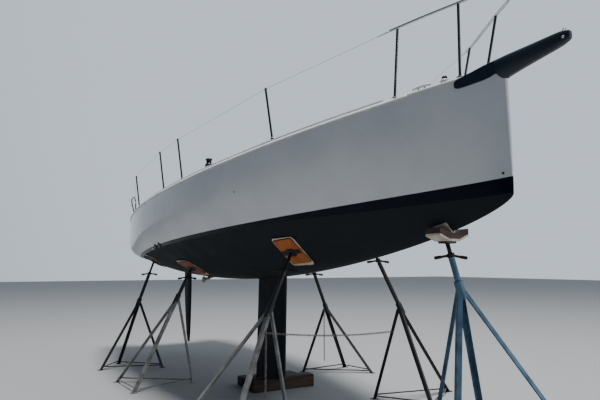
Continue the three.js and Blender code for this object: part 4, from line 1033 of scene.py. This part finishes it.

# Skin fittings: white domed ones forward and aft, two flat black discs low on the starboard quarter, and the eye
# through the stem foot.
# Each has its outline, number of sides, and places: aft, height, side
fittings = {"dome": (((0.021, -0.012), (0.023, 0.004), (0.019, 0.013), (0.008, 0.018)), 24,
                     ((3.07, 0.352, -1), (6.26, -0.03, -1))),
            "flap": (((0.042, -0.012), (0.042, 0.008), (0.036, 0.014), (0.01, 0.016)), 28,
                     ((5.78, -0.008, -1), (6.03, -0.012, -1))),
            "stemEye": (((0.011, -0.006), (0.011, 0.0012), (0.006, 0.0014)), 20,
                        ((0.066, 0.036, 1), (0.066, 0.036, -1)))}


def sidePoint(aft, height, hand):
    return boatPoint(aft, hand * halfBreadth(aft, height), height)


def onHull(kind, step=0.02):
    profile, sides, places = fittings[kind]
    made = []
    for aft, height, hand in places:
        place = sidePoint(aft, height, hand)
        along, up = sidePoint(aft + step, height, hand) - place, sidePoint(aft, height + step, hand) - place
        made.append(turned(profile, place, along.cross(up).normalized() * hand, sides))
    return made


finish("skinFittingFlanges", "deck", lofted(onHull("dome"), deckGelcoat))
finish("skinFittingBores", "topsides", lofted(onHull("flap") + onHull("stemEye"), blackPlastic))

# Line clutches ahead of the cabin winches. The lever's outline: aft, height above the body
clutchLook = {"aft": (4.93, 5.06), "out": (0.53, 0.572, 0.614), "wide": 0.034, "high": 0.042, "sunk": 0.004,
              "lever": ((4.945, 0.001), (4.94, 0.012), (5.03, 0.012), (5.05, 0.001)), "leverWide": 0.022,
              "roofReadAt": 5, "edge": 0.005, "leverEdge": 0.002}
clutches, levers = [], []
for hand in hands.values():
    for out in clutchLook["out"]:
        low = roofTop(clutchLook["roofReadAt"], out) - clutchLook["sunk"]
        top = low + clutchLook["high"]
        clutches.append(block(clutchLook["aft"], [hand * side for side in about(out, clutchLook["wide"])],
                              (low, top)))
        levers.append(slab([(aft, top + above) for aft, above in clutchLook["lever"]],
                           [hand * side for side in about(out, clutchLook["leverWide"])]))
finish("lineClutches", "black_alloy",
       [bevelled(lofted(clutches, blackPlastic), clutchLook["edge"]),
        bevelled(lofted(levers, blackAlloy), clutchLook["leverEdge"], segments=1)])

# Headsail tracks on the side decks with their cars, and the mainsheet car. A car: length, breadth, height
trackLook = {"aft": (3.35, 4.25), "out": 0.9, "high": 0.014, "carAft": 3.85, "car": (0.11, 0.04, 0.03),
             "section": ((0.0125, -0.004), (0.0075, 0.0084), (0.0125, 0.0098), (0.0125, 0.014)),
             "screws": 10, "firstScrew": 0.045, "screwGap": 0.09, "screwHead": (0.005, 0.001),
             "carEdge": 0.006, "mainCar": ((6.8, 6.9), (-0.06, 0.06)), "mainCarHigh": (0.0006, 0.028),
             "sheaveAft": 6.85, "sheaveHigh": 0.05,
             "sheavesAt": (-0.03, 0, 0.03),
             "sheave": ((0.02, -0.009), (0.026, -0.008), (0.026, 0.008), (0.02, 0.009))}
tracks, cars, studs = [], [], []
section = [(-side, height) for side, height in trackLook["section"]] + list(reversed(trackLook["section"]))
length, breadth, high = trackLook["car"]
for hand in hands.values():
    out, middle = trackLook["out"], trackLook["carAft"]
    tracks.append([[boatPoint(aft, hand * (out + side), deckHeight(aft, out) + height)
                    for side, height in section] for aft in trackLook["aft"]])
    base = deckHeight(middle, out) + trackLook["high"] / 2
    cars.append(block(about(middle, length), about(hand * out, breadth), (base, base + high)))
    for step in range(trackLook["screws"]):
        aft = trackLook["aft"][0] + trackLook["firstScrew"] + step * trackLook["screwGap"]
        studs.append((deckPoint(aft, hand * out, trackLook["high"]), boatUp))
finish("headsailTracks", "black_alloy", lofted(tracks, blackAlloy, angle=40))
finish("headsailTrackScrews", "stainless", heads(studs, *trackLook["screwHead"], stainless))
carLow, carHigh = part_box("mainsheet_track")
trackTop = (boatMatrix.inverted() @ Vector(((carLow[0] + carHigh[0]) / 2, 0, carHigh[2]))).z
cars.append(block(*trackLook["mainCar"], [trackTop + above for above in trackLook["mainCarHigh"]]))
finish("sheetCars", "black_alloy", bevelled(lofted(cars, blackPlastic), trackLook["carEdge"]))
hubs = [boatPoint(trackLook["sheaveAft"], side, trackTop + trackLook["sheaveHigh"])
        for side in trackLook["sheavesAt"]]
sheaves = [turned(trackLook["sheave"], hub, Vector((0, 1, 0)), steps=24) for hub in hubs]
finish("mainsheetSheaves", "black_alloy", lofted(sheaves, blackAlloy))

# Turn handles on the fore hatch, which lift with it
handleLook = {"aft": 2.21, "sides": (-0.13, 0.13), "radius": 0.02, "high": 0.009}
crest = max((boatMatrix.inverted() @ vertex.co).z for vertex in nodes["fore_hatch_lid"].data.vertices)
knobs = [(boatPoint(handleLook["aft"], side, crest), boatUp) for side in handleLook["sides"]]
finish("hatchHandles", "smoked_pane", heads(knobs, handleLook["radius"], handleLook["high"], blackPlastic),
       body="hatch_lid")
print("deck gear ready")

# Winches. Outlines of ring and pedestal: reach past the drum's radius, height above the plinth or the seat
winches = {
    "cabin": {"aft": 5.2, "out": 0.61, "seat": roofTop(5.2, 0.61) + 0.016, "radius": 0.06, "tall": 0.1,
              "plinth": 0.084, "finish": deckGelcoat,
              "pedestal": ((0.008, -0.028), (0.008, 0.002), (0.005, 0.012), (0.002, 0.058),
                           (-0.002, 0.0638))},
    "primary": {"aft": 6.25, "out": 0.86, "seat": deckHeight(6.25, 0.798) + 0.004, "radius": 0.062,
                "tall": 0.105, "plinth": 0.022, "finish": blackAlloy,
                "pedestal": ((0.008, -0.028), (0.008, 0.0018))}}
winchRing = ((0.006, -0.02), (0.006, -0.014), (0.002, -0.004), (-0.004, 0))
# outlines as shares of the drum's radius and height: grip and jaws, and the cap, which stands just clear
drumOutline = [(0.25, 0), (1, 0), (1, 0.05), (0.95, 0.1), (0.74, 0.24), (0.69, 0.34), (0.68, 0.6),
               (0.73, 0.7), (0.9, 0.79), (0.92, 0.82), (0.92, 0.85)]
capOutline = [(0.62, 0.875), (0.62, 0.9), (0.92, 0.92), (0.92, 0.97), (0.86, 1), (0.3, 1), (0.22, 0.99),
              (0.22, 0.9), (0.05, 0.9)]
winchGap = {"drum": 0.0004, "capShare": 0.98, "cap": 0.0002}
for label, look in winches.items():
    radius, tall, plinth = look["radius"], look["tall"], look["plinth"]
    edgeWide, edgeHigh = drumOutline[-1][0] * radius, drumOutline[-1][1] * tall
    for hand, sign in hands.items():
        foot = boatPoint(look["aft"], sign * look["out"], look["seat"])
        profiles = ([(radius + past, plinth + above) for past, above in winchRing],
                    [(radius + past, above) for past, above in look["pedestal"]])
        ring, pedestal = [turned(profile, foot, boatUp, steps=40) for profile in profiles]
        finish(f"winchBase{label.title()}{hand.title()}", "black_alloy",
               [lofted([ring], blackAlloy), lofted([pedestal], look["finish"])],
               f"winch_{label}_base_{hand}")
        seat = foot + boatUp * (plinth + winchGap["drum"])
        drum, cap = [[(radius * wide, tall * high) for wide, high in part]
                     for part in (drumOutline, capOutline)]
        cap.insert(0, (edgeWide * winchGap["capShare"], edgeHigh + winchGap["cap"]))
        node = f"winch_{label}_drum_{hand}"
        parts = [lofted([turned(drum, seat, boatUp, steps=48)], blackAlloy),
                 lofted([turned(cap, seat, boatUp, steps=48)], stainless)]
        finish(f"winchDrum{label.title()}{hand.title()}", "alloy", parts, node, body=bodyOf[node])

# Fin and rudder: foil sections, round at the nose. Fin steps: share of the height and of the rounding
finLook = {"tip": (3.9, 4.83, -1.96), "root": (3.77, 4.66, -0.43), "thick": 0.112, "fall": 0.095,
           "rounded": 0.045, "steps": ((0, 1), (0.02, 0.3), (0.05, 0), (0.5, 0), (1, 0)), "points": 28}
rudderLook = {"axis": 8.17, "fore": 0.125, "aft": 0.335, "top": -0.285, "rise": 0.075, "foot": -1.735,
              "thick": 0.062, "leastThick": 0.4, "tipShare": 0.4, "taper": 2.2, "roundFrom": 0.9,
              "roundBy": 3, "steps": 40, "stock": ((0.025, 0), (0.025, 0.94)), "stockFoot": -0.3}


def foilRing(fore, aft, half, height, rise=0.0, points=20):
    # the thickness of a symmetrical four-digit foil section, a little blunt at its trailing edge
    ring = []
    for point in range(points + 1):
        x = (1 - math.cos(math.pi * point / points)) / 2
        y = (0.2969 * math.sqrt(x) - 0.126 * x - 0.3516 * x ** 2 + 0.2843 * x ** 3 - 0.1015 * x ** 4) / 0.1
        ring.append((fore + x * (aft - fore), half * max(y, 0.03 if point else 0), height + rise * x))
    return [boatPoint(*row) for row in ring] + [boatPoint(a, -s, h) for a, s, h in reversed(ring[1:])]


finRings = []
for rise, rounding in finLook["steps"]:
    fore, aft, height = [low + rise * (high - low) for low, high in zip(finLook["tip"], finLook["root"])]
    finRings.append(foilRing(fore + finLook["rounded"] * rounding, aft, finLook["thick"] / 2, height,
                             (rise - 1) * finLook["fall"], finLook["points"]))
finish("keelFin", "antifouling", lofted([finRings], bottomPaint, angle=40), "keel_fin")
rudderRings = []
for step in range(rudderLook["steps"] + 1):
    level = step / rudderLook["steps"]
    reach = 1 - (1 - rudderLook["tipShare"]) * level ** rudderLook["taper"]
    reach *= 1 - max(0, level - rudderLook["roundFrom"]) * rudderLook["roundBy"]
    rudderRings.append(foilRing(rudderLook["axis"] - rudderLook["fore"] * reach,
                                rudderLook["axis"] + rudderLook["aft"] * reach,
                                rudderLook["thick"] / 2 * max(rudderLook["leastThick"], reach),
                                rudderLook["top"] + level * (rudderLook["foot"] - rudderLook["top"]),
                                rudderLook["rise"] * (1 - level)))
stockFoot = boatPoint(rudderLook["axis"], 0, rudderLook["stockFoot"])
stock = turned(rudderLook["stock"], stockFoot, boatUp, steps=28)
finish("rudderBlade", "antifouling", [lofted([rudderRings], bottomPaint, angle=40),
                                      lofted([stock], stainless, angle=40)], "rudder", body="steering")
tillerLook = {"line": ((8.23, 0.61), (8.02, 0.64), (7.67, 0.8), (7.32, 0.93), (7.02, 0.985)), "tube": 0.017,
              "clamp": ((0.036, 0), (0.042, 0.004), (0.042, 0.061), (0.036, 0.065)), "clampHeight": 0.585,
              "extensionTube": 0.009, "extensionAbove": 0.034}
tillerPath = smoothPath([boatPoint(aft, 0, height) for aft, height in tillerLook["line"]])
clampFoot = boatPoint(rudderLook["axis"], 0, tillerLook["clampHeight"])
clampRing = turned(tillerLook["clamp"], clampFoot, boatUp)
finish("tillerArm", "carbon", [tubes([tillerPath], tillerLook["tube"], carbon, sides=20),
                               lofted([clampRing], alloy)], "tiller", body="steering")
extension = [point + boatUp * tillerLook["extensionAbove"] for point in tillerPath[8:-2]]
finish("tillerExtension", "carbon", tubes([extension], tillerLook["extensionTube"], carbon), body="steering")
print("winches, keel and rudder ready")

# Jack stands: point on the hull (aft, side), pad (along, across, degrees turned, face), top of the legs, feet
# and paint
stands = {
    "starboard_fore": ((2.67, -0.49), (0.34, 0.42, 10, "orange"), (1.61, -0.75, 1.3),
                       ((1.12, -1.63), (1.95, -1.36), (1.58, -0.5)), "grey"),
    "starboard_aft": ((5.4, -0.81), (0.42, 0.4, 0, "red"), (-1.12, -1.01, 1.286),
                      ((-1.61, -1.78), (-0.77, -1.7), (-1.04, -0.77)), "grey"),
    "starboard_quarter": ((7.1, -0.98), (0.36, 0.32, 0, "dark"), (-2.79, -1.23, 1.14),
                          ((-2.7, -1.85), (-3.17, -1.48), (-2.45, -0.87)), "black"),
    "port_fore": ((2.9, 0.73), (0.36, 0.34, 0, "dark"), (1.42, 1.2, 1.235),
                  ((1.08, 1.03), (1.76, 1.42), (1.24, 2.2)), "black"),
    "port_aft": ((4.85, 0.96), (0.36, 0.34, 0, "orange"), (-0.66, 1.34, 1.09),
                 ((-0.93, 1.07), (-0.96, 1.92), (-0.31, 2.02)), "black"),
    "bow": ((0.73, 0), None, (3.6, 0.08, 1.59), ((3.2, 0.04), (3.9, -0.34), (3.3, 0.68), (4.1, 1.1)), "blue")}
nextFoot = {3: (1, 2, 0), 4: (1, 3, 0, 2)}
# Layers of a pad: less along and across, corner, upper and lower face. The liner is slid and askew
padLook = {"thick": 0.022, "pressed": 0.003, "shift": (-0.004, 0.012, 0), "askew": 4, "edge": 0.001,
           "liner": ((-0.02, -0.045), 0.045, -0.003, 0.005), "seam": ((0.008, 0.008), 0.035, 0.0052, 0.007),
           "board": ((0.022, 0.026), 0.03, 0.0072, 0.019)}
# Cradle of the bow stand, a shallow V across the boat: side and height from where the hull touches
saddleLook = {"length": 0.18, "thick": 0.068, "pressed": 0.003, "edge": 0.002,
              "board": (0.15, 0.11, 0.014), "boardSide": 0.08, "boardEdge": 0.0015,
              "packing": ((-0.165, 0.044), (-0.165, -0.004), (-0.055, -0.048), (0.055, -0.048),
                          (0.165, -0.004), (0.165, 0.044), (0, 0)),
              "bearer": ((-0.165, -0.0042), (-0.165, -0.024), (-0.055, -0.068), (0.055, -0.068),
                         (0.165, -0.024), (0.165, -0.0042), (0.055, -0.0482), (-0.055, -0.0482))}
standLook = {"bar": (0.3, 0.06, 0.012), "plate": (0.11, 0.11, 0.008), "lap": 0.002, "seat": 0.0003,
             "sleeve": 0.027, "sleeveHigh": 0.66,
             "sleeveTop": ((0.027, -0.006), (0.03, -0.005), (0.03, 0), (0.0195, 0.001)),
             "collar": ((0.035, -0.13), (0.039, -0.126), (0.039, 0.024), (0.035, 0.028)),
             "screw": 0.0175, "thread": 0.0085, "screwSunk": 0.03, "handleAt": 0.7, "handleReach": 0.13,
             "handleDroop": 0.022, "handleWay": (0.48, 0.877, 0), "handle": 0.0115,
             "nut": ((0.028, -0.019), (0.034, -0.017), (0.034, 0.012), (0.028, 0.019), (0.02, 0.019)),
             "knob": ((0.01, -0.05), (0.015, -0.044), (0.0155, 0.008), (0.008, 0.014)),
             "legSide": 0.046, "legThick": 0.006, "heel": 0.018, "headGap": 0.055, "legFoot": 0.7,
             "shoe": (0.085, 0.085, 0.006), "braceAt": (0.03, 0.045), "brace": 0.009,
             "legEdge": 0.0012, "plateEdge": 0.0015}


def hullPoint(aft, side):
    # where the bottom is at a side distance, found by halving
    low, high = -hullLine("canoeDepth", aft), 0
    for _ in range(30):
        middle = (low + high) / 2
        if halfBreadth(aft, middle) < abs(side):
            low = middle
        else:
            high = middle
    return boatPoint(aft, side, low)


def hullNormal(aft, side, along=0.06, across=0.03):
    if not side:
        return Vector((0, 0, -1))
    forward = hullPoint(aft - along, side) - hullPoint(aft + along, side)
    return (hullPoint(aft, side + across) - hullPoint(aft, side - across)).cross(forward).normalized()


def hullRing(aft, reach=0.3, steps=24):
    depth = hullLine("canoeDepth", aft)
    levels = [-depth + (depth + reach) * (step / steps) ** 2 for step in range(steps + 1)]
    port = [(halfBreadth(aft, level), level) for level in levels]
    whole = port + [(-side, level) for side, level in reversed(port[1:])]
    return [boatPoint(aft, side, level) for side, level in whole]


toolLook = {"fore": 0.35, "gap": 0.1, "rings": 62}
hullTool = [hullRing(toolLook["fore"] + toolLook["gap"] * step) for step in range(toolLook["rings"])]


def placedBox(size, turn, centre):
    return [[centre + turn @ Vector((sx * size[0] / 2, sy * size[1] / 2, sz * size[2] / 2))
             for sy, sz in ((-1, -1), (1, -1), (1, 1), (-1, 1))] for sx in (-1, 1)]


def squareTo(direction, start, end):
    along = (end - start).normalized()
    return (direction - along * direction.dot(along)).normalized()


def angleBar(start, end, outward):
    # angle iron with its heel turned outward, cut level where it stands on its shoe
    along, out = (end - start).normalized(), squareTo(outward, start, end)
    cross = along.cross(out)
    first, second = (cross - out) / math.sqrt(2), (-cross - out) / math.sqrt(2)
    side, thick = standLook["legSide"], standLook["legThick"]
    corners = ((0, 0), (side, 0), (side, thick), (thick, thick), (thick, side), (0, side))
    rings = [[place + out * standLook["heel"] + first * a + second * b for a, b in corners]
             for place in (start, end)]
    rings[0] = [corner + along * (start.z - corner.z) / along.z for corner in rings[0]]
    return rings


# Screw thread: a round ridge wound on a core, upward from the point
tree, add, made = newTree("screwThread", {"Radius": 0.015, "Length": 0.3, "Pitch": 0.0085, "Finish": None})
addFormulas(add, made, [("turns", "DIVIDE", "Length", "Pitch"), ("half", "MULTIPLY", "Length", 0.5)])
winding = add("CurveSpiral", {"Resolution": 14, "Rotations": made["turns"], "Start Radius": made["Radius"],
                              "End Radius": made["Radius"], "Height": made["Length"]})
ridge = add("CurvePrimitiveCircle", {"Resolution": 5, "Radius": 0.0026})
wound = add("CurveToMesh", {"Curve": winding, "Profile Curve": ridge, "Fill Caps": True})
core = add("MeshCylinder", {"Vertices": 20, "Radius": made["Radius"], "Depth": made["Length"]})
core = add("Transform", {"Geometry": core, "Translation": add("CombineXYZ", {"Z": made["half"]})})
screw = add("JoinGeometry", {0: [wound, core]})
facing = add("InputNamedAttribute", {"Name": "facing"}, data_type="FLOAT_VECTOR")
endTree(add, placeAlong(add, made["Geometry"], screw, facing), None, made["Finish"])
threadTree = tree


def standLegs(apex, feet, paint):
    # angle iron legs on square shoes, and the braces that run from foot to foot
    centre = sum((Vector((*foot, 0)) for foot in feet), Vector()) / len(feet)
    footing = Vector((0, 0, standLook["shoe"][2]))
    bars, shoes, ends = [], [], []
    for x, y in feet:
        foot = Vector((x, y, 0))
        head = apex + (foot - apex).normalized() * standLook["headGap"]
        bars.append(angleBar(foot + footing * standLook["legFoot"], head, foot - centre))
        shoes.append(placedBox(standLook["shoe"], Matrix.Identity(3), foot + footing / 2))
        inward = squareTo(foot - centre, foot, apex) * (standLook["heel"] - standLook["legThick"])
        ends.append([foot.lerp(apex, share) + inward for share in standLook["braceAt"]])
    braces = [[ends[index][0], ends[after][1]] for index, after in enumerate(nextFoot[len(feet)])]
    return [bevelled(lofted(bars + shoes, paint), standLook["legEdge"], segments=1),
            tubes(braces, standLook["brace"], paint, sides=8)]


def standScrew(apex, top, paint):
    # sleeve and collar, the nut with its two handles, and the screw up to the head
    up = top - apex
    rise, reach = up.normalized(), up.length * standLook["sleeveHigh"]
    sleeve = [(standLook["sleeve"], 0), *((wide, reach + high) for wide, high in standLook["sleeveTop"])]
    handle, droop = apex + up * standLook["handleAt"], Vector((0, 0, standLook["handleDroop"]))
    grips = [Vector(standLook["handleWay"]) * sign * standLook["handleReach"] - droop for sign in (1, -1)]
    knobs = [turned(standLook["knob"], handle + grip, grip, steps=14) for grip in grips]
    start = apex + up * (standLook["sleeveHigh"] - standLook["screwSunk"])
    thread = {"Radius": standLook["screw"], "Length": (top - start).length, "Pitch": standLook["thread"],
              "Finish": bareSteel}
    posts = [turned(part, apex, rise, steps=28) for part in (sleeve, standLook["collar"])]
    return [lofted(posts, paint, angle=40),
            lofted([turned(standLook["nut"], handle, rise, steps=6)], bareSteel),
            tubes([[handle, handle + grip] for grip in grips], standLook["handle"], bareSteel, sides=12),
            lofted(knobs, bareSteel), grown(threadTree, thread, facingPoints([(start, rise)]))]


def padBoards(touch, outward, face, along, across, tint):
    # pale worn liner against the hull, a thin black sheet between, and the round-cornered plywood board under it
    askew = face @ Matrix.Rotation(math.radians(padLook["askew"]), 3, "Z")
    layers = [("liner", paleWood, askew, touch + face @ Vector(padLook["shift"])),
              ("seam", blackPlastic, face, touch), ("board", padFaces[tint], face, touch)]
    boards = []
    for layer, wood, turn, middle in layers:
        smaller, radius, *levels = padLook[layer]
        half = ((along - smaller[0]) / 2, (across - smaller[1]) / 2)
        outline = roundedOutline((-half[0], -half[1]), half, radius)
        rings = [[middle + turn @ Vector((x, y, 0)) + outward * level for x, y in outline]
                 for level in levels]
        boards.append(bevelled(lofted([rings], wood), padLook["edge"], segments=1))
    return boards


def saddleBlocks(touch, aft):
    # dark packing over a pale bearer, and a board leaning on the hull at each side
    blocks = []
    for outline, wood in ((saddleLook["packing"], brownWood), (saddleLook["bearer"], paleWood)):
        rings = [[touch + Vector((along, y, z + saddleLook["pressed"])) for y, z in outline]
                 for along in about(0, saddleLook["length"])]
        blocks.append(bevelled(lofted([rings], wood), saddleLook["edge"], segments=1))
    for hand in hands.values():
        outward = hullNormal(aft, hand * saddleLook["boardSide"])
        face = Vector((0, 0, -1)).rotation_difference(outward).to_matrix()
        place = (hullPoint(aft, hand * saddleLook["boardSide"] / 2)
                 + outward * (saddleLook["board"][2] / 2 - saddleLook["pressed"]))
        board = lofted([placedBox(saddleLook["board"], face, place)], paleWood)
        blocks.append(bevelled(board, saddleLook["boardEdge"], segments=1))
    return blocks


for label, ((aft, side), padSize, apex, feet, tint) in stands.items():
    apex, touch, outward = Vector(apex), hullPoint(aft, side), hullNormal(aft, side)
    face = Vector((0, 0, -1)).rotation_difference(outward).to_matrix()
    camel = "".join(part.title() for part in label.split("_"))
    look, bar, plate = (padLook if padSize else saddleLook), standLook["bar"], standLook["plate"]
    if padSize:
        along, across, degrees, grain = padSize
        face = face @ Matrix.Rotation(math.radians(degrees), 3, "Z")
        woods = padBoards(touch, outward, face, along, across, grain)
    else:
        woods = saddleBlocks(touch, aft)
        bar = (*plate[:2], bar[2])
    for wood in woods:
        carve(wood, [hullTool], angle=30)
    finish(f"pad{camel}", "plywood", woods, f"stand_pad_{label}")
    head = touch + outward * (look["thick"] - look["pressed"] + standLook["seat"])
    plates = [placedBox(bar, face, head + outward * bar[2] / 2),
              placedBox(plate, face, head + outward * (bar[2] + plate[2] / 2 - standLook["lap"]))]
    # painted shade: on grey stands the sleeve and collar take the black paint, for the hull's shadow that falls on
    # them
    steel = standSteel["black" if tint == "grey" else tint]
    legs, rods = standLegs(apex, feet, standSteel[tint])
    top = head + outward * (standLook["bar"][2] + standLook["lap"])
    finish(f"stand{camel}", f"{tint}_steel",
           [bevelled(lofted(plates, standSteel["black"]), standLook["plateEdge"], segments=1), legs, rods,
            *standScrew(apex, top, steel)], f"stand_frame_{label}")
print("stands ready")

# Safety chain from the starboard fore stand to the port one, with its end hanging, and a spare end aft: links
# along a path, every second one turned
tree, add, made = newTree("chainLinks", {"Pitch": 0.019, "Wire": 0.0028, "Finish": None})
addFormulas(add, made, [("long", "MULTIPLY_ADD", "Wire", 2, "Pitch"), ("wide", "MULTIPLY", "Pitch", 0.72)])
path = add("MeshToCurve", [made["Geometry"]])
along = add("CurveToPoints", {"Curve": path, "Length": made["Pitch"]}, mode="LENGTH")
link = add("CurvePrimitiveQuadrilateral", {"Width": made["long"], "Height": made["wide"]})
link = add("FilletCurve", {"Curve": link, "Count": 3, "Radius": 0.0084}, mode="POLY")
wire = add("CurvePrimitiveCircle", {"Resolution": 6, "Radius": made["Wire"]})
link = add("CurveToMesh", {"Curve": link, "Profile Curve": wire})
link = add("Transform", {"Geometry": link, "Rotation": (0, math.radians(90), 0)})
made["index"] = add("InputIndex")
addFormulas(add, made, [("odd", "MODULO", "index", 2), ("turn", "MULTIPLY", "odd", math.pi / 2)])
quarter = add("CombineXYZ", {"Z": made["turn"]})
endTree(add, placeAlong(add, along, link, along.outputs["Tangent"], quarter), None, made["Finish"])
chainLook = {"hook": (1.7, -0.848, 1.03), "far": (1.325, 1.152, 0.89), "sag": 0.04, "tailBelow": 0.012,
             "drop": 0.66, "spare": (-0.63, 1.3, 1.02), "spareDrop": 0.8, "pitch": 0.024, "wire": 0.0034,
             "steps": 24}


def hanging(top, drop, steps=12):
    return [Vector(top) - Vector((0, 0, drop * step / steps)) for step in range(steps + 1)]


hook, far = Vector(chainLook["hook"]), Vector(chainLook["far"])
run = [hook.lerp(far, share) - Vector((0, 0, 4 * chainLook["sag"] * share * (1 - share)))
       for share in (step / chainLook["steps"] for step in range(chainLook["steps"] + 1))]
chain = pathMesh([run, hanging(hook - Vector((0, 0, chainLook["tailBelow"])), chainLook["drop"]),
                  hanging(chainLook["spare"], chainLook["spareDrop"])])
links = {"Pitch": chainLook["pitch"], "Wire": chainLook["wire"], "Finish": chainSteel}
finish("safetyChain", "grey_steel", grown(tree, links, chain))
print("chain ready")

for node, shown in nodes.items():
    shown.data.materials.clear()
    shown.data.materials.append(slotMaterials[slotOf[node]])

# Camera and light
view = {"place": (6.959, -3.317, 1.744), "pitch": 7.113, "yaw": 28.753, "lens": 31.66, "sensor": 36}
cameraData = bpy.data.cameras.new("view")
cameraData.lens, cameraData.sensor_width = view["lens"], view["sensor"]
camera = newObject("view", cameraData)
camera.location = view["place"]
pitch, yaw = math.radians(view["pitch"]), math.radians(view["yaw"])
look = Vector((-math.cos(yaw) * math.cos(pitch), math.sin(yaw) * math.cos(pitch), math.sin(pitch)))
camera.rotation_euler = look.to_track_quat("-Z", "Y").to_euler()
scene.camera = camera

reach = 60
floor = newObject("floor", bpy.data.meshes.new("floor"))
floor.data.from_pydata([(-reach, -reach, 0), (reach, -reach, 0), (reach, reach, 0), (-reach, reach, 0)], [],
                       [(0, 1, 2, 3)])
floor.data.materials.append(newMaterial("pale_floor", "#9b9b9a", 0.85))
# a bright sky over the bow and port side, and a darker one behind the camera, so the near side is in soft
# shade; the sun lamp stands overhead, and the fill lamp ahead of the bow lights the stem
light = {"bright": "#dbe6f2", "shade": "#434f63", "strength": 0.95, "toBright": (-0.5, 0.8, 0.32),
         "from": -0.3, "to": 0.7, "sun": ((3, 0.5, 25), 5, 8500), "fill": ((14, 5.5, 3), 3, 420),
         "aim": (0, 0, 1.5)}
world = bpy.data.worlds.new("studio")
world.use_nodes = True
sky = world.node_tree
add = nodeAdder(sky)
along = add("VectorMath", [add("TexCoord"), light["toBright"]], operation="DOT_PRODUCT")
along = add("MapRange", {"Value": along.outputs["Value"], "From Min": light["from"],
                         "From Max": light["to"]}, interpolation_type="SMOOTHSTEP")
tone = add("Mix", {0: along, 6: srgb(light["shade"]), 7: srgb(light["bright"])}, data_type="RGBA")
sky.links.new(tone.outputs[2], sky.nodes["Background"].inputs["Color"])
sky.nodes["Background"].inputs["Strength"].default_value = light["strength"]
scene.world = world
for name in ("sun", "fill"):
    place, size, power = light[name]
    lampData = bpy.data.lights.new(name, "AREA")
    lampData.size, lampData.energy = size, power
    lamp = newObject(name, lampData)
    lamp.location = place
    lamp.rotation_euler = (Vector(light["aim"]) - Vector(place)).to_track_quat("-Z", "Y").to_euler()
